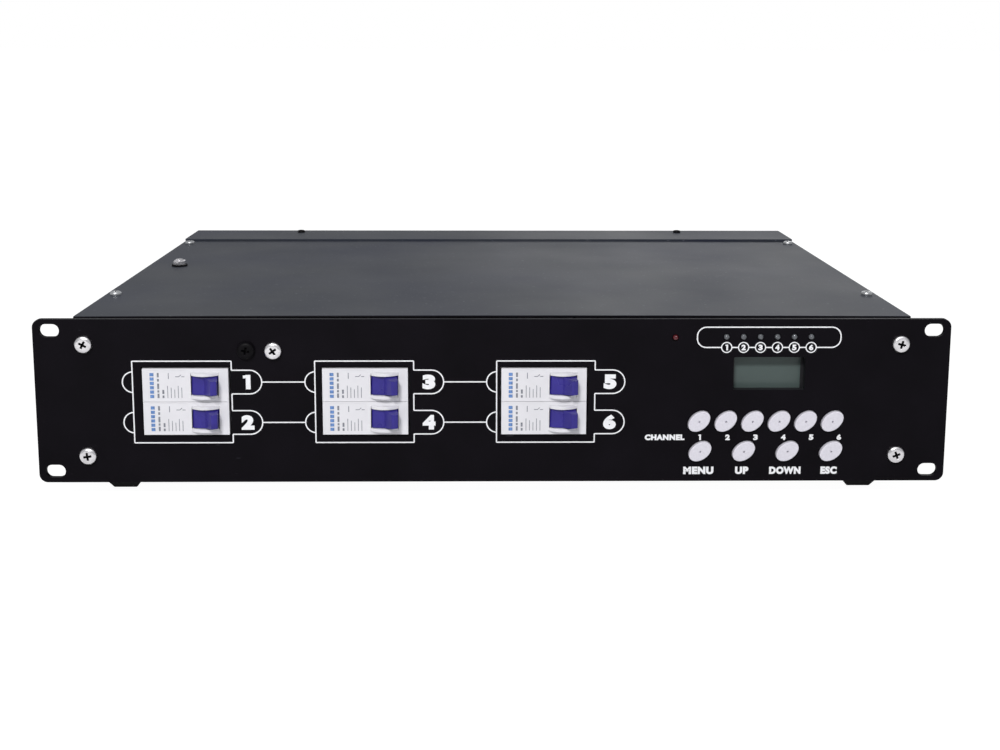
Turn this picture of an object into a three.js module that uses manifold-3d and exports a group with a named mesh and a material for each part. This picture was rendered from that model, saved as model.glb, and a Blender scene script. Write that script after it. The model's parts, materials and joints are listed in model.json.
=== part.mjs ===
// Six channel dimmer pack for a 19 inch rack, two units high.
//
// Millimetres. X runs along the front panel to the right, Y runs from the front panel to the back,
// Z runs up. While it is built, Y is zero on the front panel's front face and Z is zero on the
// front panel's lower edge. The last lines move the whole pack, so that the origin lies under the
// middle of its box, on the surface that the feet stand on.

import * as THREE from 'three';
import { mergeVertices } from 'three/addons/utils/BufferGeometryUtils.js';
import Module from 'manifold-3d';

const wasm = await Module();
wasm.setup();

// Clearances shared by all pieces
const seatGap = 0.3;
const cutOverrun = 2;
const fusedDepth = 0.4;
const outlineStep = 10;
const roundSides = 20;
const smallRoundSides = 12;
const caseSides = 32;
const ovalSides = 16;
const squareSides = 4;
const slotSteps = 4;
const cornerSteps = 3;
const weldTolerance = 1e-5;

// Front panel
const panelWidth = 482.6;
const panelHeight = 88.5;
const panelThickness = 3;
const panelCornerRadius = 4.5;
const rackSlotInsetX = 8.75;
const rackSlotInsetZ = 6.15;
const rackSlotLength = 10.5;
const rackSlotHeight = 7;
const panelScrewInset = 6.3;
const panelScrewSpanZ = 60.3;
const panelScrewLift = 0.8;

// Sheet metal body
const bodyWidth = 442;
const bodyDepth = 319.2;
const sheetThickness = 1.2;
const flangeWidth = 12;
const floorLift = 0.5;
const coverRise = 0.6;
const frontLipHeight = 7;

// Vents in the side walls
const ventCount = 12;
const ventWidth = 3;
const ventHeight = 34;
const ventPitch = 12;
const ventBackInset = 70;

// Top cover and the cover over the terminals
const terminalCoverDepth = 46;
const coverLap = 8;
const rearFlangeDepth = 20;
const coverScrewInset = 6;
const coverScrewFrontY = 66;
const coverScrewSeamGap = 12.5;
const coverScrewHoleRadius = 1.7;
const terminalScrewSpanX = 283.4;
const terminalScrewBackInset = 10;

// Earth bolt through the top cover
const coverBoltFlangeGap = 8.2;
const coverBoltY = 166.3;
const coverBoltHeadRadius = 4.4;
const coverBoltHeadHeight = 3.4;
const coverBoltWasherRadius = 5.6;
const coverBoltWasherThickness = 0.8;
const coverBoltShankRadius = 2.3;
const coverBoltNutRadius = 4.4;
const coverBoltNutHeight = 3.6;

// Pan head screws of the front panel
const screwHeadRadius = 4.7;
const screwHeadHeight = 3;
const screwShankRadius = 2.3;
const screwShankLength = 10;
const screwNutRadius = 4.4;
const screwNutHeight = 3.4;
const earthScrewInset = 105.1;
const earthScrewRise = 27.5;
const blackScrewPitch = 14.2;
const blackScrewRise = 27.6;
const crossWidth = 1.1;
const crossLength = 5.2;
const crossDepth = 1.5;
const screwCrownRadiusShares = [0, 0.5, 0.8, 1];
const screwCrownRiseShares = [1, 0.92, 0.67, 0.33];

// Feet
const footSide = 17.4;
const footTipSide = 12.4;
const footFlareHeight = 3.8;
const footHeight = 9.2;
const footInsetX = 20;
const footInsetY = 21.4;

// Circuit breakers, lying on their sides, two to a window
const breakerColumns = 3;
const breakerRows = 2;
const breakerSideShare = 0.215;
const breakerColumnShare = 0.1634;
const breakerWidth = 17.8;
const breakerFaceLength = 45;
const breakerBodyLength = 80;
const breakerProud = 1;
const breakerNoseDepth = 16;
const breakerDepth = 64;
const breakerStackGap = 0.2;
const windowClearance = 0.8;
const windowCornerRadius = 1;
const railWidth = 35;
const railDepth = 7.5;
const railCrownWidth = 27;
const railSheet = 1;
const railHook = 1.4;

// Toggle of a breaker
const toggleOffset = 10.2;
const togglePivotDepth = 7;
const toggleDrumRadius = 9.6;
const toggleNoseRadius = 15.5;
const toggleRootHalf = 3.4;
const toggleTipHalf = 1.7;
const toggleHeight = 10;
const toggleHubRadius = 3.4;
const toggleSectorAngle = 70;
const toggleRestAngle = 23;
const togglePinRadius = 1.5;
const togglePinLength = 1.2;
const cheekThickness = 1.8;
const cheekHalfChord = 7.6;
const runningGap = 0.4;

// Bracket that carries the breakers
const bracketSheet = 1.5;
const bracketHeight = 66;
const bracketFootDepth = 18;
const bracketOverhang = 6;

// Push buttons
const buttonHalfLength = 6.75;
const buttonHalfWidth = 4.6;
const buttonProud = 2;
const buttonTravel = 0.8;
const buttonSkirtMargin = 0.9;
const buttonSkirtThickness = 1.2;
const buttonStemRadius = 1.6;
const channelButtonCount = 6;
const channelButtonInset = 29.05;
const channelButtonPitch = 14.2;
const channelButtonTilt = 41;
const menuButtonInset = 29.9;
const menuButtonPitch = 23.33;
const menuButtonLift = 8.05;
const buttonRowPitch = 16.45;
const menuButtonTilt = 36.5;
const menuButtonNames = ['menu_button', 'up_button', 'down_button', 'esc_button'];
const capRadiusShares = [0, 0.87, 1];
const capRiseShares = [1, 1, 0.8];

// Display
const displayWidth = 37.9;
const displayHeight = 17.7;
const displayInset = 65.6;
const displayLift = 25.9;
const displayHolderDepth = 1.5;
const glassMargin = 3.2;
const glassThickness = 2.6;

// Lamps
const ledRadius = 1.5;
const ledProud = 1;
const ledCount = 6;
const ledInset = 42.6;
const ledPitch = 8.97;
const ledLift = 19.75;
const powerLedInset = 15.6;
const powerLedDrop = 0.35;
const ledCarrierMargin = 1.4;
const ledCarrierThickness = 3;
const lensRadiusShares = [0, 0.55, 0.9, 1];
const lensRiseShares = [1, 0.85, 0.45, 0];

// Control board behind the panel
const boardThickness = 1.6;
const controlBoardWidth = 120;
const controlBoardSideShare = 0.103;
const controlBoardTopGap = 3.9;
const controlBoardSetBack = 12;
const spacerRadius = 2.6;
const spacerInset = 4;
const spacerLipGap = 0.7;
const switchSide = 6;
const switchHeight = 3.6;

// Power board with its parts
const powerBoardSideGap = 25;
const powerBoardRight = 24;
const powerBoardFrontGap = 6.3;
const powerBoardBackGap = 14.5;
const bossHeight = 8;
const bossRadius = 4;
const bossInset = 8;
const capacitorLength = 30;
const capacitorWidth = 11;
const capacitorHeight = 20;
const capacitorBackInset = 22;
const triacLane = 8;
const triacWidth = 15.5;
const triacThickness = 4.8;
const triacHeight = 20;
const triacStandoff = 6;
const triacEdgeInset = 1;
const triacLegsThickness = 1.6;
const triacLegsWidth = 10.4;

// Heat sink
const sinkWidth = 62;
const sinkHeight = 58;
const sinkFrontGap = 10.3;
const sinkFanGap = 24;
const sinkBase = 7;
const sinkFinThickness = 1.8;
const sinkFinCount = 8;

// Filter chokes
const chokeColumns = 3;
const chokeRows = 2;
const chokeRadius = 24;
const chokeHoleRadius = 8;
const chokeHeight = 22;
const chokeRounding = 5;
const chokeGapX = 14;
const chokeGapY = 8;
const chokeBackShift = 16;

// Mains transformer of the control side
const transformerY = 120;
const transformerLength = 54;
const transformerWidth = 30;
const transformerHeight = 45;
const transformerCoilLength = 32;
const transformerCoilWidth = 46;
const transformerCoilHeight = 31;
const transformerEarReach = 11;
const transformerEarThickness = 2;
const transformerEarHoleRadius = 2.2;
const transformerEarHoleInset = 6;

// Fan
const fanSide = 50;
const fanDepth = 15;
const fanWall = 1.4;
const fanCornerRadius = 4;
const fanScrewInset = 5;
const fanScrewHoleRadius = 2.1;
const fanHubRadius = 12.5;
const fanHubDepth = 10;
const fanMotorThickness = 3;
const fanStrutWidth = 3;
const fanStrutCount = 4;
const fanStrutFirstAngle = 45;
const fanBladeCount = 7;
const fanBladeGap = 0.8;
const fanBladeThickness = 1.2;
const fanBladeDepth = 9;
const fanBladePitchAngle = 38;
const fanShaftRadius = 1.5;
const fanBushRadius = 3;
const grilleSlotHeight = 3;
const grilleSlotPitch = 6;
const grilleSlotCount = 7;

// Sockets for the control signal
const socketFlangeWidth = 26;
const socketFlangeHeight = 31;
const socketFlangeThickness = 2.4;
const socketFlangeCorner = 3;
const socketBodyRadius = 11.8;
const socketBodyDepth = 21;
const socketCupRadius = 9.5;
const socketCupDepth = 15.5;
const socketPinRadius = 1.2;
const socketPinLength = 9.5;
const socketPinCircle = 4.8;
const socketPinAngles = [45, 135, 270];
const socketCoreRadius = 7.4;
const socketContactRadius = 1.6;
const socketContactDepth = 9;
const inputSocketInset = 43;
const socketPitch = 34;
const latchWidth = 7;
const latchHeight = 3.6;
const latchProud = 1.6;
const latchTravel = 1.2;
const latchLength = 1;

// Cable glands
const mainsGlandInset = 45;
const glandPitch = 44;
const glandThreadRadius = 12.2;
const glandBoreRadius = 7;
const glandHexRadius = 16.2;
const glandHexThickness = 5;
const glandNutThickness = 5;
const glandDomeRadius = 14.2;
const glandDomeLength = 17;
const glandThreadTail = 3;
const glandSides = 6;
const glandMouthShare = 0.68;
const glandShoulderShare = 0.55;

// Terminal block under the terminal cover
const terminalX = -46;
const terminalWays = 10;
const terminalPitch = 13;
const terminalDepth = 22;
const terminalHeight = 34;
const terminalBackInset = 18;
const terminalWireHole = 5;
const terminalScrewHoleRadius = 2.4;
const terminalScrewDepth = 8;
const terminalWireDepth = 9;
const terminalWireRise = 8;

// Places worked out from the sizes above. The width that the breakers, the control board and a
// flange leave free in the body is shared out between them.
const panelMiddle = panelHeight / 2;
const halfBody = bodyWidth / 2;
const bodyFront = panelThickness + seatGap;
const bodyBack = bodyFront + bodyDepth;
const floorTop = floorLift + sheetThickness;
const coverTop = panelHeight + coverRise;
const coverUnder = coverTop - sheetThickness;
const wallTop = coverUnder - seatGap;
const rearInner = bodyBack - sheetThickness;
const wallBack = rearInner - seatGap;
const stackHeight = breakerRows * breakerWidth + (breakerRows - 1) * breakerStackGap;
const breakerFaceY = -breakerProud;
const breakerBackY = breakerFaceY + breakerDepth;
const breakerRun = breakerColumns * breakerBodyLength - (breakerBodyLength - breakerFaceLength) / 2;
const spareWidth = bodyWidth - breakerRun - controlBoardWidth - flangeWidth;
const breakerFirstX = spareWidth * breakerSideShare + breakerBodyLength / 2 - halfBody;
const breakerColumnPitch = breakerBodyLength + spareWidth * breakerColumnShare;
const toggleRootRadius = toggleDrumRadius - fusedDepth;
const toggleSweep = Math.hypot(toggleRootHalf, toggleRootRadius);
const bracketFront = breakerBackY - railHook - railSheet - runningGap + railDepth;
const bracketBack = bracketFront + bracketFootDepth;
const terminalCoverFront = bodyBack - terminalCoverDepth;
const coverScrewRearY = terminalCoverFront - coverScrewSeamGap;
const coverBoltX = flangeWidth + coverBoltFlangeGap - halfBody;
const earthScrewX = earthScrewInset - halfBody;
const blackScrewX = earthScrewX - blackScrewPitch;
const lipTop = floorTop + frontLipHeight;
const controlBoardRight = halfBody - flangeWidth - spareWidth * controlBoardSideShare;
const controlBoardLeft = controlBoardRight - controlBoardWidth;
const controlBoardBottom = lipTop + spacerLipGap + spacerRadius - spacerInset;
const controlBoardTop = coverUnder - controlBoardTopGap;
const menuButtonFirstX = controlBoardLeft + menuButtonInset;
const menuButtonZ = lipTop + menuButtonLift;
const channelButtonFirstX = controlBoardLeft + channelButtonInset;
const channelButtonZ = menuButtonZ + buttonRowPitch;
const displayX = controlBoardLeft + displayInset;
const displayZ = channelButtonZ + displayLift;
const displaySetBack = controlBoardSetBack - displayHolderDepth - seatGap - glassThickness;
const ledFirstX = controlBoardLeft + ledInset;
const ledZ = displayZ + ledLift;
const powerLedX = controlBoardLeft + powerLedInset;
const powerLedZ = ledZ - powerLedDrop;
const powerBoardUnder = floorTop + bossHeight + seatGap;
const powerBoardTop = powerBoardUnder + boardThickness;
const powerBoardLeft = powerBoardSideGap - halfBody;
const powerBoardFront = bracketBack + powerBoardFrontGap;
const powerBoardBack = bodyBack - terminalBackInset - terminalDepth - powerBoardBackGap;
const powerBoardDepth = powerBoardBack - powerBoardFront;
const sinkLeft = powerBoardRight + triacEdgeInset + seatGap;
const sinkRight = sinkLeft + sinkWidth;
const sinkFront = bracketBack + sinkFrontGap;
const sinkBack = wallBack - fanDepth - sinkFanGap;
const chokePitchX = 2 * chokeRadius + chokeGapX;
const chokePitchY = 2 * chokeRadius + chokeGapY;
const transformerEarLength = transformerLength + 2 * transformerEarReach;
const transformerX = (sinkRight + halfBody) / 2;
const fanX = (sinkLeft + sinkRight) / 2;
const fanBoreRadius = fanSide / 2 - fanWall;
const fanScrewSpan = fanSide - 2 * fanScrewInset;
const inputSocketX = halfBody - inputSocketInset;
const outputSocketX = inputSocketX - socketPitch;
const mainsGlandX = mainsGlandInset - halfBody;
const loadGlandX = mainsGlandX + glandPitch;
const rearMiddle = panelMiddle;

function paint(color, roughness, metalness) {
  return new THREE.MeshStandardMaterial({ color, roughness, metalness });
}

const finishes = {
  panelBlack: paint(0x16131a, 0.45, 0.2),
  coverGrey: paint(0x5d6167, 0.55, 0.3),
  zinc: paint(0xa7abb0, 0.38, 0.9),
  nickel: paint(0xd5d6da, 0.22, 1),
  blackSteel: paint(0x17171a, 0.4, 0.8),
  rubber: paint(0x1c1c1f, 0.85, 0),
  breakerWhite: paint(0xe6e7ea, 0.45, 0),
  toggleBlue: paint(0x41358f, 0.35, 0),
  buttonGrey: paint(0xdcdae2, 0.5, 0),
  displayGreen: paint(0x515a59, 0.25, 0),
  boardGreen: paint(0x1f5a35, 0.5, 0),
  boardBrown: paint(0x8a6a3a, 0.6, 0),
  lampClear: paint(0xd6d8dc, 0.2, 0),
  lampRed: paint(0xb8202a, 0.25, 0),
  aluminium: paint(0xb9bcc0, 0.35, 0.95),
  copperWinding: paint(0xa8602c, 0.35, 0.7),
  coreSteel: paint(0x6c6f74, 0.5, 0.7),
  plasticBlack: paint(0x1a1a1c, 0.5, 0),
  plasticGrey: paint(0x8d9094, 0.55, 0),
};

// Turns a closed three.js geometry into a solid for cutting and joining
function solid(geometry) {
  const bare = geometry.clone();
  bare.deleteAttribute('normal');
  bare.deleteAttribute('uv');
  const merged = mergeVertices(bare, weldTolerance);
  const corner = merged.index.array;
  const place = merged.attributes.position;
  const kept = [];
  for (let i = 0; i < corner.length; i += 3) {
    const [a, b, c] = [corner[i], corner[i + 1], corner[i + 2]];
    if (a !== b && b !== c && c !== a) kept.push(a, b, c);
  }
  const p = new THREE.Vector3();
  const q = new THREE.Vector3();
  const r = new THREE.Vector3();
  let sixfoldVolume = 0;
  for (let i = 0; i < kept.length; i += 3) {
    p.fromBufferAttribute(place, kept[i]);
    q.fromBufferAttribute(place, kept[i + 1]);
    r.fromBufferAttribute(place, kept[i + 2]);
    sixfoldVolume += p.dot(q.cross(r));
  }
  if (sixfoldVolume < 0) kept.reverse();
  return new wasm.Manifold(new wasm.Mesh({
    numProp: 3,
    vertProperties: Float32Array.from(place.array),
    triVerts: Uint32Array.from(kept),
  }));
}

// Turns a solid back into a three.js geometry with flat faces
function surface(body) {
  const mesh = body.getMesh();
  const geometry = new THREE.BufferGeometry();
  geometry.setAttribute('position', new THREE.BufferAttribute(Float32Array.from(mesh.vertProperties), 3));
  geometry.setIndex(new THREE.BufferAttribute(Uint32Array.from(mesh.triVerts), 1));
  geometry.computeVertexNormals();
  return geometry;
}

const join = (...bodies) => bodies.reduce((whole, body) => whole.add(body));
const cut = (body, ...tools) => tools.reduce((left, tool) => left.subtract(tool), body);

// A box between two values along each axis
function block([x0, x1], [y0, y1], [z0, z1]) {
  const box = new THREE.BoxGeometry(x1 - x0, y1 - y0, z1 - z0);
  return solid(box.translate((x0 + x1) / 2, (y0 + y1) / 2, (z0 + z1) / 2));
}

// A round bar along Y
function barY(radius, [y0, y1], [x, z], sides = roundSides) {
  const bar = new THREE.CylinderGeometry(radius, radius, y1 - y0, sides);
  return solid(bar.translate(x, (y0 + y1) / 2, z));
}

// A round bar along Z
function barZ(radius, [z0, z1], [x, y], sides = roundSides) {
  const bar = new THREE.CylinderGeometry(radius, radius, z1 - z0, sides).rotateX(Math.PI / 2);
  return solid(bar.translate(x, y, (z0 + z1) / 2));
}

// A turned piece around Y, from pairs of radius and Y that start and end on the axis
function turned(profile, sides = roundSides) {
  return solid(new THREE.LatheGeometry(profile.map(([radius, y]) => new THREE.Vector2(radius, y)), sides));
}

// An outline drawn in X and Z, as thick as two values of Y
function plateY(shape, [y0, y1], curveSegments = outlineStep) {
  const plate = new THREE.ExtrudeGeometry(shape, { depth: y1 - y0, bevelEnabled: false, curveSegments });
  return solid(plate.rotateX(Math.PI / 2).translate(0, y1, 0));
}

// An outline drawn in X and Y, as thick as two values of Z
function plateZ(shape, [z0, z1], curveSegments = outlineStep) {
  const plate = new THREE.ExtrudeGeometry(shape, { depth: z1 - z0, bevelEnabled: false, curveSegments });
  return solid(plate.translate(0, 0, z0));
}

function polygon(points) {
  return new THREE.Shape(points.map(([x, y]) => new THREE.Vector2(x, y)));
}

// A rectangle with round corners around a middle
function roundedRectangle(width, height, radius, [x, y] = [0, 0]) {
  const [right, top] = [x + width / 2, y + height / 2];
  const [left, bottom] = [x - width / 2, y - height / 2];
  const shape = new THREE.Shape();
  shape.moveTo(left + radius, bottom);
  shape.lineTo(right - radius, bottom);
  shape.absarc(right - radius, bottom + radius, radius, -Math.PI / 2, 0, false);
  shape.lineTo(right, top - radius);
  shape.absarc(right - radius, top - radius, radius, 0, Math.PI / 2, false);
  shape.lineTo(left + radius, top);
  shape.absarc(left + radius, top - radius, radius, Math.PI / 2, Math.PI, false);
  shape.lineTo(left, bottom + radius);
  shape.absarc(left + radius, bottom + radius, radius, Math.PI, 1.5 * Math.PI, false);
  return shape;
}

// A slot with round ends, lying along X
function slotOutline(length, height, [x, y]) {
  const reach = (length - height) / 2;
  const shape = new THREE.Shape();
  shape.absarc(x + reach, y, height / 2, -Math.PI / 2, Math.PI / 2, false);
  shape.absarc(x - reach, y, height / 2, Math.PI / 2, 1.5 * Math.PI, false);
  return shape;
}

function ellipseOutline(halfLength, halfWidth, tilt, [x, y]) {
  const shape = new THREE.Shape();
  shape.absellipse(x, y, halfLength, halfWidth, 0, 2 * Math.PI, false, tilt);
  return shape;
}

const degrees = THREE.MathUtils.degToRad;
const range = (count) => Array.from({ length: count }, (_, i) => i);

function named(name, body, finish, position = [0, 0, 0]) {
  const mesh = new THREE.Mesh(surface(body), finish);
  mesh.name = name;
  mesh.position.set(...position);
  return mesh;
}

// Middles of the breaker windows, of the buttons and of the lamps; the panel's screws, each with
// its finish and whether a nut holds it where no flange takes the thread
const windowXs = range(breakerColumns).map((i) => breakerFirstX + i * breakerColumnPitch);
const channelButtonXs = range(channelButtonCount).map((i) => channelButtonFirstX + i * channelButtonPitch);
const menuButtonXs = menuButtonNames.map((_, i) => menuButtonFirstX + i * menuButtonPitch);
const ledXs = range(ledCount).map((i) => ledFirstX + i * ledPitch);
const screwReach = halfBody - panelScrewInset;
const screwMiddle = panelMiddle + panelScrewLift;
const screwLevels = { top: screwMiddle + panelScrewSpanZ / 2, bottom: screwMiddle - panelScrewSpanZ / 2 };
const panelScrews = [
  ['panel_screw_top_left', -screwReach, screwLevels.top, finishes.nickel, false],
  ['panel_screw_bottom_left', -screwReach, screwLevels.bottom, finishes.nickel, false],
  ['panel_screw_top_right', screwReach, screwLevels.top, finishes.nickel, false],
  ['panel_screw_bottom_right', screwReach, screwLevels.bottom, finishes.nickel, false],
  ['panel_screw_earth', earthScrewX, panelMiddle + earthScrewRise, finishes.nickel, true],
  ['panel_screw_black', blackScrewX, panelMiddle + blackScrewRise, finishes.blackSteel, true],
];

// Front panel: a plate with the rack slots, the breaker windows and the holes for the controls
function frontPanel() {
  const outline = roundedRectangle(panelWidth, panelHeight, panelCornerRadius, [0, panelMiddle]);
  const through = [-cutOverrun, panelThickness + cutOverrun];
  let plate = plateY(outline, [0, panelThickness], outlineStep / 2);
  for (const side of [-1, 1]) {
    for (const level of [-1, 1]) {
      const reach = [panelWidth / 2 - rackSlotInsetX, panelMiddle - rackSlotInsetZ];
      const place = [side * reach[0], panelMiddle + level * reach[1]];
      plate = cut(plate, plateY(slotOutline(rackSlotLength, rackSlotHeight, place), through, slotSteps));
    }
  }
  for (const x of windowXs) {
    const width = breakerFaceLength + 2 * windowClearance;
    const height = stackHeight + 2 * windowClearance;
    const outlineOfWindow = roundedRectangle(width, height, windowCornerRadius, [x, panelMiddle]);
    plate = cut(plate, plateY(outlineOfWindow, through, cornerSteps));
  }
  const buttonHole = (tilt, place) => ellipseOutline(
    buttonHalfLength + seatGap, buttonHalfWidth + seatGap, degrees(tilt), place);
  for (const x of channelButtonXs) {
    plate = cut(plate, plateY(buttonHole(channelButtonTilt, [x, channelButtonZ]), through));
  }
  for (const x of menuButtonXs) {
    plate = cut(plate, plateY(buttonHole(menuButtonTilt, [x, menuButtonZ]), through));
  }
  const displayCut = roundedRectangle(displayWidth, displayHeight, windowCornerRadius, [displayX, displayZ]);
  plate = cut(plate, plateY(displayCut, through, cornerSteps));
  for (const x of ledXs) plate = cut(plate, barY(ledRadius + seatGap, through, [x, ledZ], smallRoundSides));
  plate = cut(plate, barY(ledRadius + seatGap, through, [powerLedX, powerLedZ], smallRoundSides));
  for (const [, x, z] of panelScrews) {
    plate = cut(plate, barY(screwShankRadius + seatGap, through, [x, z], smallRoundSides));
  }
  return plate;
}

// Tray: floor, side walls with vents, and the flanges that carry the panel, the rear and the cover
function chassisTray() {
  const length = [bodyFront, wallBack];
  const height = [floorLift, wallTop];
  let tray = block([-halfBody, halfBody], length, [floorLift, floorTop]);
  const frontSheet = [bodyFront, bodyFront + sheetThickness];
  tray = join(tray, block([-halfBody, halfBody], frontSheet, [floorLift, lipTop]));
  for (const side of [-1, 1]) {
    const span = (inner) => [side * halfBody, side * (halfBody - inner)].sort((a, b) => a - b);
    tray = join(
      tray,
      block(span(sheetThickness), length, height),
      block(span(flangeWidth), length, [wallTop - sheetThickness, wallTop]),
      block(span(flangeWidth), frontSheet, height),
      block(span(flangeWidth), [wallBack - sheetThickness, wallBack], height),
    );
    const across = span(sheetThickness + cutOverrun).map((x) => x + side * cutOverrun / 2);
    for (const i of range(ventCount)) {
      const y = wallBack - ventBackInset - i * ventPitch;
      const slot = [y - ventWidth / 2, y + ventWidth / 2];
      tray = cut(tray, block(across, slot, [panelMiddle - ventHeight / 2, panelMiddle + ventHeight / 2]));
    }
    const frontHole = [bodyFront - cutOverrun, bodyFront + sheetThickness + cutOverrun];
    for (const z of [screwLevels.top, screwLevels.bottom]) {
      const place = [side * screwReach, z];
      tray = cut(tray, barY(screwShankRadius + seatGap, frontHole, place, smallRoundSides));
    }
    const flangeHole = [wallTop - sheetThickness - cutOverrun, wallTop + cutOverrun];
    for (const y of [coverScrewFrontY, coverScrewRearY]) {
      const place = [side * (halfBody - coverScrewInset), y];
      tray = cut(tray, barZ(coverScrewHoleRadius, flangeHole, place, smallRoundSides));
    }
  }
  for (const [x, y] of bossPlaces()) {
    tray = join(tray, barZ(bossRadius, [floorTop - fusedDepth, floorTop + bossHeight], [x, y], outlineStep));
  }
  return tray;
}

// Places of the bosses under the power board
function bossPlaces() {
  const middle = (powerBoardLeft + powerBoardRight) / 2;
  const xs = [powerBoardLeft + bossInset, middle, powerBoardRight - bossInset];
  const ys = [powerBoardFront + bossInset, powerBoardBack - bossInset];
  return xs.flatMap((x) => ys.map((y) => [x, y]));
}

// Rear panel: a plate with its top flange and the holes for fan, sockets and glands
function rearPanel() {
  const through = [rearInner - cutOverrun, bodyBack + cutOverrun];
  let plate = block([-halfBody, halfBody], [rearInner, bodyBack], [floorLift, coverTop]);
  const flange = [bodyBack - rearFlangeDepth, bodyBack];
  plate = join(plate, block([-halfBody, halfBody], flange, [coverUnder, coverTop]));
  for (const x of [mainsGlandX, loadGlandX]) {
    plate = cut(plate, barY(glandThreadRadius + seatGap, through, [x, rearMiddle]));
  }
  for (const x of [inputSocketX, outputSocketX]) {
    plate = cut(plate, barY(socketBodyRadius + seatGap, through, [x, rearMiddle]));
  }
  for (const i of range(grilleSlotCount)) {
    const rise = (i - (grilleSlotCount - 1) / 2) * grilleSlotPitch;
    const reach = Math.sqrt(fanBoreRadius ** 2 - rise ** 2);
    const level = [rearMiddle + rise - grilleSlotHeight / 2, rearMiddle + rise + grilleSlotHeight / 2];
    plate = cut(plate, block([fanX - reach, fanX + reach], through, level));
  }
  for (const side of [-1, 1]) {
    for (const level of [-1, 1]) {
      const place = [fanX + (side * fanScrewSpan) / 2, rearMiddle + (level * fanScrewSpan) / 2];
      plate = cut(plate, barY(fanScrewHoleRadius, through, place, outlineStep));
    }
    const flangePlace = [(side * terminalScrewSpanX) / 2, bodyBack - terminalScrewBackInset];
    const flangeHole = [coverUnder - cutOverrun, coverTop + cutOverrun];
    plate = cut(plate, barZ(coverScrewHoleRadius, flangeHole, flangePlace, outlineStep));
  }
  return plate;
}

// Top cover: a flat sheet on the tray's flanges, with the holes for its screws and the earth bolt
function topCover() {
  const level = [coverUnder, coverTop];
  const back = terminalCoverFront + coverLap;
  let sheet = block([-halfBody, halfBody], [bodyFront, back], level);
  const through = [coverUnder - cutOverrun, coverTop + cutOverrun];
  for (const side of [-1, 1]) {
    for (const y of [coverScrewFrontY, coverScrewRearY]) {
      const place = [side * (halfBody - coverScrewInset), y];
      sheet = cut(sheet, barZ(coverScrewHoleRadius, through, place, outlineStep));
    }
  }
  const boltPlace = [coverBoltX, coverBoltY];
  return cut(sheet, barZ(coverBoltShankRadius + seatGap, through, boltPlace, smallRoundSides));
}

// Terminal cover: a strip over the rear opening, one sheet higher than the top cover, with a hem
// at each end that closes the step down to the side walls
function terminalCover() {
  const under = coverTop + seatGap;
  let strip = block([-halfBody, halfBody], [terminalCoverFront, bodyBack], [under, under + sheetThickness]);
  for (const side of [-1, 1]) {
    const place = [(side * terminalScrewSpanX) / 2, bodyBack - terminalScrewBackInset];
    const through = [under - cutOverrun, under + sheetThickness + cutOverrun];
    strip = cut(strip, barZ(coverScrewHoleRadius, through, place, outlineStep));
    const across = [side * halfBody, side * (halfBody - flangeWidth)].sort((a, b) => a - b);
    const along = [terminalCoverFront + coverLap + seatGap, bodyBack - rearFlangeDepth - seatGap];
    strip = join(strip, block(across, along, [coverUnder, under + fusedDepth]));
  }
  return strip;
}

// Earth bolt: head and washer above the cover, nut below it
function coverBolt() {
  const washer = [coverTop + seatGap, coverTop + seatGap + coverBoltWasherThickness];
  const head = [washer[1] - fusedDepth, washer[1] + coverBoltHeadHeight];
  const nut = [coverUnder - seatGap - coverBoltNutHeight, coverUnder - seatGap];
  const centre = [0, 0];
  return join(
    barZ(coverBoltWasherRadius, washer, centre, roundSides),
    barZ(coverBoltHeadRadius, head, centre, smallRoundSides),
    barZ(coverBoltNutRadius, nut, centre, glandSides),
    barZ(coverBoltShankRadius, [nut[0] - fusedDepth, head[0] + fusedDepth], centre, outlineStep),
  );
}

// Pan head screw with a crowned top and a cross recess, and a nut where it needs one
function panelScrew(withNut) {
  const under = -seatGap;
  const crown = under - screwHeadHeight;
  const shankEnd = under + screwShankLength;
  const profile = [
    ...screwCrownRadiusShares.map((share, i) => [
      share * screwHeadRadius, under - screwCrownRiseShares[i] * screwHeadHeight]),
    [screwHeadRadius, under],
    [screwShankRadius, under],
    [screwShankRadius, shankEnd],
    [0, shankEnd],
  ];
  let screw = turned(profile);
  const depth = [crown - cutOverrun, crown + crossDepth];
  const half = (value) => [-value / 2, value / 2];
  screw = cut(screw, block(half(crossLength), depth, half(crossWidth)));
  screw = cut(screw, block(half(crossWidth), depth, half(crossLength)));
  if (!withNut) return screw;
  const nut = [panelThickness + seatGap, panelThickness + seatGap + screwNutHeight];
  return join(screw, barY(screwNutRadius, nut, [0, 0], glandSides));
}

// Foot: a square rubber block whose lower part is chamfered all round
function foot() {
  const top = [-footSide / 2, footSide / 2];
  const body = block(top, top, [footFlareHeight, footHeight]);
  const cornerReach = [footSide / Math.SQRT2, footTipSide / Math.SQRT2];
  const tip = new THREE.CylinderGeometry(...cornerReach, footFlareHeight, squareSides);
  tip.rotateY(Math.PI / 4).rotateX(Math.PI / 2).translate(0, 0, footFlareHeight / 2);
  return join(body, solid(tip));
}

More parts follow.
